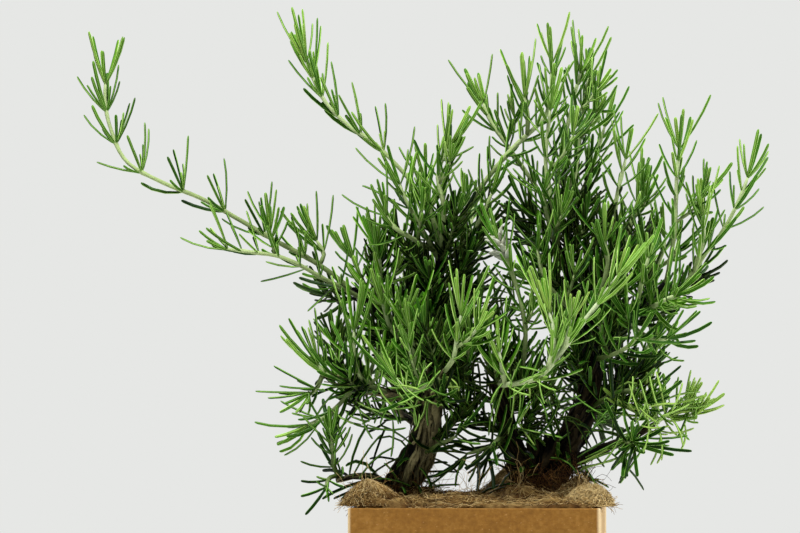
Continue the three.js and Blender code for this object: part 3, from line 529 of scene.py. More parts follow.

# Coir: a ruffled mat, tufts over the rim, and loose fibres on both. A peak is its place, height and width;
# the first two are the lumps behind the right trunk, painted pale with the light from behind them. A heap is
# its foot and how high it rises.
coir = {
    "cells": 54, "dome": 5.5, "edge": 1.5, "ripple": 1.3, "ruffle": 2.6, "grain": 7, "sunk": 1.6,
    "skirt": 127,
    "peaks": [((15, 26), 18, 11), ((61, -18), 15, 11), ((-64, -44), 5, 20), ((26, -22), 6, 12),
              ((-34, -16), 4, 10)],
    "litLumps": 2, "lumpEvery": 7,
    # a tuft's shades give the tone at its foot, its darkest and its palest fibres; the left tuft's low values
    # are painted shade
    "tufts": [{"at": (-61, -50, 141), "size": (19.5, 20.5, 13.2), "peak": 0.5, "lean": -4,
               "shades": (0.3, 0.3, 1.1), "fibres": 1500},
              {"at": (67, -46, 141), "size": (14.5, 19.5, 11.5), "peak": 0.2, "lean": 1,
               "shades": (0.9, 0.6, 1.1), "fibres": 1200}],
    "matFibres": 3000, "heapFibres": 700, "drips": 260, "strays": 90,
    "heaps": [((-50, -12, 142), 0), ((46, -14, 143), 16), ((46, -14, 143), 16)], "heapSpread": (44, 26),
    "straysFrom": ((-3, -40), (66, -52), (-66, -56), (26, -30), (12, 24), (-24, 0)),
    "straySpread": 16, "fibreRadius": (0.09, 0.18), "looseRadius": 0.12, "wander": 1.1,
    "fibreLength": (8, 22), "heapLength": (8, 24), "dripLength": (3, 9), "strayLength": (14, 30),
    "firstSeed": {"tufts": (5000, 7000), "heaps": 11000, "strays": 13000, "drips": 15000},
}
fibreShape = newTemplate("fibreShape", ((1, 0), (-0.5, 0.87), (-0.5, -0.87)), (0, 0.2, 0.4, 0.6, 0.8, 1),
                         (0.6, 1, 1, 1, 0.9, 0.25))


def peakAt(peak, x, y):
    at, high, wide = peak
    return math.exp(-(math.hypot(x - at[0], y - at[1]) / wide) ** 2)


def coirHeight(x, y):
    half = planter["width"] / 2
    dome = coir["dome"] * (1 - (x / half) ** 4) * (1 - (y / half) ** 4)
    ripple = coir["ripple"] * (math.sin(x / 9 + y / 14) + 0.8 * math.sin(y / 8 - x / 17))
    peaks = sum(peak[1] * peakAt(peak, x, y) for peak in coir["peaks"])
    return planter["height"] + coir["edge"] + dome + ripple + peaks


def matTop(x, y):
    # the height of the ruffled mat, and how rough it is there
    rough = noise.fractal(Vector((x, y, 0)) / coir["grain"], 1.0, 2.0, 4)
    return coirHeight(x, y) - coir["sunk"] + coir["ruffle"] * rough, rough


def lumpLight(x, y):
    # painted light: 1 on top of the backlit lumps, 0 away from them
    return clamp(sum(peakAt(peak, x, y) for peak in coir["peaks"][:coir["litLumps"]]))


def addFibre(bm, places, radius, tone):
    stations = []
    for j, centre in enumerate(places):
        along = (places[min(j + 1, len(places) - 1)] - places[max(j - 1, 0)]).normalized()
        across = along.orthogonal().normalized()
        stations.append((centre, across * radius, along.cross(across) * radius))
    addCopy(bm, fibreShape, stations, tone)


def walkFibre(n, kind, start, heading, length, settle=lambda place, j: place):
    # a fibre wanders over a surface; settle moves each place onto it
    steps = len(fibreShape["rings"]) - 1
    places = [settle(start, 0)]
    here = start.copy()
    for j in range(1, steps + 1):
        turn = Vector([chance(n, 10 * kind + j, what) - 0.5 for what in (1, 2, 3)])
        heading = (heading + turn * coir["wander"]).normalized()
        here = here + heading * length / steps
        places.append(settle(here, j))
        here = places[-1].copy()
    return places


def tuftPlace(tuft, lean, reach):
    # the place on a tuft's surface, or a little off it, that lies that way from its middle
    lean = lean.normalized()
    high = clamp(lean.z)
    flat = math.hypot(lean.x, lean.y) or 1
    wide = mix(math.sqrt(1 - high * high), 1 - high, tuft["peak"]) if lean.z > 0 else 1
    way = lean.x / flat * wide, lean.y / flat * wide, high
    place = Vector([at + size * reach * value for at, size, value in zip(tuft["at"], tuft["size"], way)])
    place.x += tuft["lean"] * high
    return place


def makeCoirMat(half):
    bm = newPiece()
    tone = bm.verts.layers.float["tone"]
    grid = bmesh.ops.create_grid(bm, x_segments=coir["cells"], y_segments=coir["cells"], size=half)["verts"]
    for vert in grid:
        vert.co.z, rough = matTop(vert.co.x, vert.co.y)
        # painted shade and light: tone follows the ruffle, so hollows are darker and rises paler, and the
        # lumps behind the right trunk are painted pale
        vert[tone] = clamp(0.3 + 0.5 * rough + 0.6 * lumpLight(vert.co.x, vert.co.y))
    rim = [edge for edge in bm.edges if edge.is_boundary]
    skirt = bmesh.ops.extrude_edge_only(bm, edges=rim)["geom"]
    for vert in (item for item in skirt if isinstance(item, bmesh.types.BMVert)):
        vert.co.z = coir["skirt"]
    bmesh.ops.holes_fill(bm, edges=[edge for edge in bm.edges if edge.is_boundary], sides=0)
    for tuft in coir["tufts"]:
        ball = bmesh.ops.create_icosphere(bm, subdivisions=4, radius=1)["verts"]
        for vert in ball:
            rough = noise.fractal(vert.co * 3.1 + Vector(tuft["at"]), 1.0, 2.0, 4)
            under = vert.co.z < 0
            narrow = 0.6 + 0.4 * (1 + vert.co.z) if under else 1
            vert.co = tuftPlace(tuft, vert.co, (0.9 + 0.12 * rough) * narrow)
            if under:
                vert.co.z -= 0.4
            # painted shade: the tuft's hollows are darker and its bulges paler
            vert[tone] = clamp(0.45 + 0.5 * rough)
    for face in bm.faces:
        face.smooth = True
    finishPiece("coirMat", bm, [finishes["coirMat"]], ["coir_mulch"])


def addMatFibre(bm, n, half):
    x, y = (mix(-half, half, chance(n, 0, what)) for what in (11, 12))
    if n % coir["lumpEvery"] == 0:
        # the lumps that are painted pale as lit from behind are thick with fibre
        at, high, wide = coir["peaks"][n % coir["litLumps"]]
        x, y = (at[axis] + wide * mix(-1, 1, chance(n, 1, 11 + axis)) for axis in range(2))
    turn = 2 * math.pi * chance(n, 0, 13)
    lift = 0.2 + 2.4 * chance(n, 0, 14) ** 3

    def onMat(place, j):
        px, py = clamp(place.x, -half - 1, half + 1), clamp(place.y, -half - 1, half + 1)
        rise = lift * (0.4 + j / 5) + 1.2 * (chance(n, j, 15) - 0.3)
        return Vector((px, py, matTop(px, py)[0] + rise))

    length = mix(*coir["fibreLength"], chance(n, 0, 16))
    places = walkFibre(n, 1, Vector((x, y, 0)), Vector((math.cos(turn), math.sin(turn), 0)), length, onMat)
    # fibres on the lumps are painted pale, the light from behind them
    pale = clamp(0.9 * chance(n, 0, 18) + 0.5 * lumpLight(x, y))
    addFibre(bm, places, mix(*coir["fibreRadius"], chance(n, 0, 17)), pale)


def addTuftFibre(bm, tuft, seed):
    turn = 2 * math.pi * chance(seed, 0, 1)
    high = chance(seed, 0, 2) ** 1.3
    lift = 0.96 + 0.14 * chance(seed, 0, 3) ** 2

    def onTuft(place, j):
        lean = Vector([(place[axis] - tuft["at"][axis]) / tuft["size"][axis] for axis in range(3)])
        lean.x -= tuft["lean"] * clamp(lean.z) / tuft["size"][0]
        lean.z = max(lean.z, 0.02)
        return tuftPlace(tuft, lean, lift + 0.035 * j * chance(seed, j, 4))

    start = tuftPlace(tuft, Vector((math.cos(turn), math.sin(turn), high)), 1)
    heading = Vector([chance(seed, 0, what) - 0.5 for what in (6, 7, 8)]).normalized()
    places = walkFibre(seed, 2, start, heading, mix(*coir["fibreLength"], chance(seed, 0, 9)), onTuft)
    # fibres low on a tuft are darker: partly the red-brown coir at the left tuft's foot, partly painted shade
    # under the tufts
    foot, darkest, palest = tuft["shades"]
    pale = clamp((start.z - tuft["at"][2]) / 6, foot, 1) * mix(darkest, palest, chance(seed, 0, 11))
    addFibre(bm, places, mix(*coir["fibreRadius"], chance(seed, 0, 10)), pale)


def addHeapFibre(bm, n, seed):
    # dark fibres heaped against the trunks' feet
    foot, rise = coir["heaps"][n % len(coir["heaps"])]
    spread = Vector([chance(seed, 0, what) - 0.5 for what in (1, 2, 3)])
    wide, deep = coir["heapSpread"]
    start = Vector(foot) + Vector((spread.x * wide, spread.y * deep, 0))
    start.z = coirHeight(start.x, start.y) - 2 + rise * max(0, spread.z)
    heading = Vector((spread.y, spread.z, 0.3 + chance(seed, 0, 4))).normalized()
    drop = 0.25 + 0.35 * chance(seed, 0, 6)
    places = walkFibre(seed, 3, start, heading, mix(*coir["heapLength"], chance(seed, 0, 5)),
                       lambda place, j: place - up * (0.5 * j * drop))
    addFibre(bm, places, mix(*coir["fibreRadius"], chance(seed, 0, 7)), 0.32 * chance(seed, 0, 8) ** 1.5)


def addDrip(bm, tuft, seed):
    # a short end that hangs over the planter's front edge below a tuft
    turn = mix(-1, 1, chance(seed, 0, 1)) * 1.5 - math.pi / 2
    reach = mix(0.86, 1.02, chance(seed, 0, 2))
    way = math.cos(turn), math.sin(turn), 0.06
    start = Vector([at + size * reach * value for at, size, value in zip(tuft["at"], tuft["size"], way)])
    heading = Vector((math.cos(turn), math.sin(turn), mix(-0.6, 0.3, chance(seed, 0, 3)))).normalized()
    places = walkFibre(seed, 5, start, heading, mix(*coir["dripLength"], chance(seed, 0, 4)))
    addFibre(bm, places, coir["looseRadius"], mix(0.1, 0.8, chance(seed, 0, 5)))


def addStray(bm, source, seed):
    x, y = (source[axis] + coir["straySpread"] * (chance(seed, 0, 1 + axis) - 0.5) for axis in range(2))
    start = Vector((x, y, 0))
    start.z = coirHeight(start.x, start.y)
    heading = Vector((chance(seed, 0, 3) - 0.5, chance(seed, 0, 4) - 0.5, 0.15 + 0.6 * chance(seed, 0, 5)))
    places = walkFibre(seed, 4, start, heading.normalized(), mix(*coir["strayLength"], chance(seed, 0, 6)))
    addFibre(bm, places, coir["looseRadius"], 0.4 + 0.6 * chance(seed, 0, 7))


def makeCoir():
    half = planter["width"] / 2 - planter["wall"] - 0.3
    makeCoirMat(half)
    bm = newPiece()
    for n in range(coir["matFibres"]):
        addMatFibre(bm, n, half)
    finishPiece("coirFibres", bm, [finishes["coir"]], ["coir_mulch"])
    print("coir mat fibres:", coir["matFibres"])

    bm = newPiece()
    tufts, sources, first = coir["tufts"], coir["straysFrom"], coir["firstSeed"]
    for tuft, seed in zip(tufts, first["tufts"]):
        for n in range(tuft["fibres"]):
            addTuftFibre(bm, tuft, seed + n)
    for n in range(coir["heapFibres"]):
        addHeapFibre(bm, n, first["heaps"] + n)
    for n in range(coir["drips"]):
        addDrip(bm, tufts[n % len(tufts)], first["drips"] + n)
    for n in range(coir["strays"]):
        addStray(bm, sources[n % len(sources)], first["strays"] + n)
    finishPiece("coirTuftFibres", bm, [finishes["coir"]], ["coir_mulch"])
    print("coir tuft fibres:", sum(tuft["fibres"] for tuft in tufts))


makeCoir()
print("coir made")

# Trunks and limbs. A limb starts at its path's first place, or on another limb at a share of its length.
# Some are strands that twist round each other. radius is at the root and at the tip.
bark = {
    "sides": 26, "pitch": 2.2, "twigSides": 14, "coarse": 0.44, "fine": 0.18, "lumps": 0.22,
    "coarseGrain": (1.5, 34), "fineGrain": (4.2, 15), "lumpGrain": (0.6, 11),  # across and along
    "spread": (1, 0.55),  # how far the strands keep apart, at the root and at the tip
    "thinStrands": 5, "thinOffset": 3.2, "thinSize": (0.34, 0.55),
    "recess": {"wide": 9, "reach": 20, "top": 222, "depth": 0.5},
    "inside": {"from": 218, "over": 16, "share": 0.8},
}
limbs = [
    dict(name="left_trunk", trunk="trunk_left", strands=3, offset=5.2, turns=0.6, radius=(7, 5),
         path=[(-50, 0, 128), (-48, -2, 146), (-39, -5, 163), (-31, -6, 181), (-27, -6, 199),
               (-26, -6, 213)]),
    dict(name="left_low", trunk="trunk_left", on=("left_trunk", 0.92), radius=(3.6, 2.1),
         path=[(-53, -14, 209), (-75, -22, 216), (-92, -25, 221)]),
    dict(name="left_mid", trunk="trunk_left", on=("left_trunk", 0.97), radius=(4.2, 2.2),
         path=[(-46, -2, 240), (-62, 0, 262), (-77, 4, 274)]),
    dict(name="left_up", trunk="trunk_left", on=("left_trunk", 0.97), radius=(4.4, 2.4),
         path=[(-25, -8, 243), (-22, -8, 274), (-21, -8, 299)]),
    dict(name="left_front", trunk="trunk_left", on=("left_trunk", 0.9), radius=(3.2, 2),
         path=[(-21, -30, 213), (-15, -48, 222)]),
    dict(name="left_back", trunk="trunk_left", on=("left_trunk", 0.94), radius=(3.6, 2.2),
         path=[(-28, 20, 225), (-32, 45, 245)]),
    dict(name="left_back_low", trunk="trunk_left", on=("left_trunk", 0.72), radius=(3, 2),
         path=[(-45, 22, 195), (-60, 45, 208)]),
    dict(name="left_twig", trunk="trunk_left", on=("left_trunk", 0.22), radius=(2.8, 1.8),
         path=[(-60, -12, 157), (-73, -18, 158), (-84, -22, 156)]),
    dict(name="right_arm_left", trunk="trunk_right", strands=2, offset=3.6, turns=0.4, radius=(6, 3.4),
         path=[(36, 0, 128), (33, -1, 148), (29, -3, 163), (22, -6, 181), (18, -10, 200),
               (15.5, -14, 216)]),
    dict(name="right_arm_main", trunk="trunk_right", strands=3, offset=4, turns=-0.5, radius=(7, 3.2),
         path=[(45, 0, 128), (47, 0, 148), (52, 2, 166), (62, 3, 187), (70, 3, 206), (72, 2, 231),
               (68, 0, 256)]),
    dict(name="right_fork", trunk="trunk_right", radius=(8, 5),
         path=[(39, -1, 128), (38, -4, 149), (41, -6, 164), (49, -5, 183)]),
    dict(name="right_leader", trunk="trunk_right", on=("right_arm_main", 0.97), radius=(4, 2.1),
         path=[(59, -2, 280), (50, -3, 305), (49, -2, 322)]),
    dict(name="right_low", trunk="trunk_right", on=("right_arm_main", 0.27), radius=(4.6, 2.2),
         path=[(64, -4, 169), (78, -12, 175), (95, -18, 181), (108, -20, 189)]),
    dict(name="right_low_back", trunk="trunk_right", on=("right_low", 0.55), radius=(2.6, 1.8),
         path=[(97, -2, 183), (110, 8, 190)]),
    dict(name="right_outer", trunk="trunk_right", on=("right_arm_main", 0.78), radius=(3.6, 2.1),
         path=[(90, 1, 249), (105, 1, 265), (118, 0, 277)]),
    dict(name="right_upper", trunk="trunk_right", on=("right_arm_main", 0.95), radius=(3.2, 2),
         path=[(77, 8, 275), (85, 8, 297)]),
    dict(name="right_back", trunk="trunk_right", on=("right_arm_main", 0.75), radius=(3.5, 2.2),
         path=[(70, 30, 243), (72, 55, 262)]),
    dict(name="right_back_low", trunk="trunk_right", on=("right_arm_main", 0.5), radius=(3.2, 2),
         path=[(72, 30, 197), (85, 55, 210)]),
    dict(name="right_web", trunk="trunk_right", radius=(7.5, 4),
         path=[(34, 0, 138), (34, -3, 158), (37, -4, 172), (36, -5, 184)]),
]
flakes = {"count": 230, "limbs": 6, "length": (9, 40), "width": (0.8, 3.0), "lift": (0.6, 5.5)}
flakeShape = newTemplate("flakeShape", ((-1, 0), (0, 1), (1, 0), (0, -1)), (0, 0.2, 0.4, 0.6, 0.8, 1),
                         (0.35, 0.9, 1, 0.9, 0.7, 0.2))
lines = {}  # the line and length of every limb and shoot, by name
plantShift = Vector((-4, 0, 0))  # the whole plant stands this far from where its tables say


def growthLine(piece):
    # the line of a limb or shoot, from where it leaves the one that it grows on
    points = [Vector(p) + plantShift for p in piece["path"]]
    if "on" in piece:
        points.insert(0, lines[piece["on"][0]][0](piece["on"][1]))
    return lineThrough(points)


def strandLines(limb, count, offset, turns, start=0.0):
    # the lines of the strands that wind round a limb's own line
    place, length = lines[limb["name"]]
    steps = len(limb["path"]) - 1
    strands = []
    for strand in range(count):
        points = []
        for i in range(steps + 1):
            share = i / steps
            tangent = (place(min(1, share + 0.01)) - place(max(0, share - 0.01))).normalized()
            side = tangent.cross(aside).normalized()
            angle = 360 * (strand / count + turns * share + start)
            away = offset * mix(*bark["spread"], share)
            points.append(place(share) + outwardAt(side, side.cross(tangent), angle) * away)
        strands.append(lineThrough(points))
    return strands


def addBark(bm, place, length, radius, sides, seed, twist, rough=1.0, flare=0.0):
    # a stem with ridged and fissured bark; returns a way to find a place on its surface
    steps = max(6, round(length / bark["pitch"]))
    stretches = stretchesOf(place, steps)
    stretches.append((place(1), *stretches[-1][1:]))
    shift = Vector((seed * 7.3, seed * 3.1, 0))

    def surface(degrees, j):
        start, along, side, depth = stretches[j]
        share = j / steps
        turned = math.radians(degrees + twist * share * 360)
        around = Vector((math.cos(turned), math.sin(turned), 0))
        coarse, fine = (noise.noise(around * bark[title][0] + shift + up * (share * length / bark[title][1]))
                        for title in ("coarseGrain", "fineGrain"))
        coarse = 1 - abs(coarse) * 3.2
        across, reach = bark["lumpGrain"]
        lump = noise.noise(start / reach + shift + around * across)
        height = clamp(0.45 + 0.5 * coarse + 0.5 * fine)
        size = mix(*radius, share) * (1 + flare * math.exp(-9 * share))
        size *= 0.82 + rough * (bark["coarse"] * (height - 0.3) + bark["fine"] * fine + bark["lumps"] * lump)
        return start + outwardAt(side, depth, degrees) * size, height

    places = [[surface(360 * i / sides, j) for i in range(sides)] for j in range(steps + 1)]
    rollTube(bm, sides, steps, lambda i, j: places[j][i][0], 0, lambda i, j: places[j][i][1])
    return lambda i, j: (places[j][i % sides][0], stretches[j]), steps


def addFlake(bm, seed, surface, steps, sides):
    # a strip of bark that has come loose and curls away at one end
    length = mix(*flakes["length"], chance(seed, 0, 1))
    first = int((steps - 8) * chance(seed, 0, 2))
    i = int(sides * chance(seed, 0, 3))
    lift = mix(*flakes["lift"], chance(seed, 0, 4) ** 2)
    width = mix(*flakes["width"], chance(seed, 0, 5)) / 2
    upward = chance(seed, 0, 6) > 0.35
    last = len(flakeShape["rings"]) - 1
    stride = max(1, round(length / last / bark["pitch"]))
    places = []
    for j in range(last + 1):
        ring = min(max(first + (j if upward else last - j) * stride, 0), steps)
        spot, (start, *rest) = surface(i + round(0.35 * j * (chance(seed, 1, 7) - 0.5) * 4), ring)
        out = (spot - start).normalized()
        places.append((spot + out * (0.1 + lift * (j / last) ** 2.2), out))
    stations = []
    for j, (spot, out) in enumerate(places):
        ahead = (places[min(j + 1, last)][0] - places[max(j - 1, 0)][0]).normalized()
        across = ahead.cross(out).normalized()
        stations.append((spot, across * width, across.cross(ahead) * 0.35))
    addCopy(bm, flakeShape, stations, 0.3 + 0.6 * chance(seed, 1, 8))


def paintRecessShade(bm, limb):
    # painted shade: the tone on the trunk's left half, a hollow in shadow, is lowered to near black, falling
    # off across its middle
    recess = bark["recess"]
    tone = bm.verts.layers.float["tone"]
    axis = [lines[limb][0](k / 40) for k in range(41)]
    for vert in bm.verts:
        nearest = min(axis, key=lambda spot: (spot - vert.co).length_squared)
        left = (nearest.x - vert.co.x) / recess["wide"]
        if (nearest - vert.co).length < recess["reach"] and vert.co.z < recess["top"]:
            vert[tone] -= recess["depth"] * clamp(left * 1.6 - 0.1) * clamp(2.6 - 1.6 * left)


def paintInsideShade(bm):
    # painted shade: limbs up among the leaves have their tone lowered with height, as the leaves shade them
    inside = bark["inside"]
    tone = bm.verts.layers.float["tone"]
    for vert in bm.verts:
        vert[tone] *= 1 - inside["share"] * clamp((vert.co.z - inside["from"]) / inside["over"])


def makeTrunk(trunk, name, finish, flakeSeed, recess=None):
    bm = newPiece()
    surfaces = []  # of every limb that flakes may grow on: a way to find places, rings, sides and length
    for seed, limb in enumerate(limb for limb in limbs if limb["trunk"] == trunk):
        place, length = lines[limb["name"]]
        if "strands" not in limb:
            radius = [r * 0.98 for r in limb["radius"]]
            found = addBark(bm, place, length, radius, bark["twigSides"], seed + 20, 0.2, 0.7)
            surfaces.append((*found, bark["twigSides"], length))
            continue
        strands = strandLines(limb, limb["strands"], limb["offset"], limb["turns"])
        for number, (strand, reach) in enumerate(strands):
            found = addBark(bm, strand, reach, limb["radius"], bark["sides"], seed * 5 + number,
                            0.35, 1.0, 0.25)
            surfaces.append((*found, bark["sides"], reach))
        away = limb["offset"] + bark["thinOffset"]
        thin = strandLines(limb, bark["thinStrands"], away, limb["turns"] * 1.7, 0.13)
        for number, (strand, reach) in enumerate(thin):
            slim = [r * mix(*bark["thinSize"], chance(seed, number, 1)) for r in limb["radius"]]
            addBark(bm, strand, reach, slim, bark["twigSides"], seed * 5 + number + 50, -0.3, 1.0, 0.5)
    closeRanks(bm)
    if recess:
        paintRecessShade(bm, recess)
    weights = [reach for *rest, reach in surfaces[:flakes["limbs"]]]
    for n in range(flakes["count"]):
        pick = chance(flakeSeed + n, 3, 3) * sum(weights)
        which = 0
        while pick > weights[which]:
            pick -= weights[which]
            which += 1
        surface, steps, sides, length = surfaces[which]
        addFlake(bm, flakeSeed + n, surface, steps, sides)
    paintInsideShade(bm)
    finishPiece(name, bm, [finish], [trunk])


for limb in limbs:
    lines[limb["name"]] = growthLine(limb)
makeTrunk("trunk_left", "trunkLeft", finishes["barkLeft"], 300, "left_trunk")
makeTrunk("trunk_right", "trunkRight", finishes["barkRight"], 700)
print("trunks made")

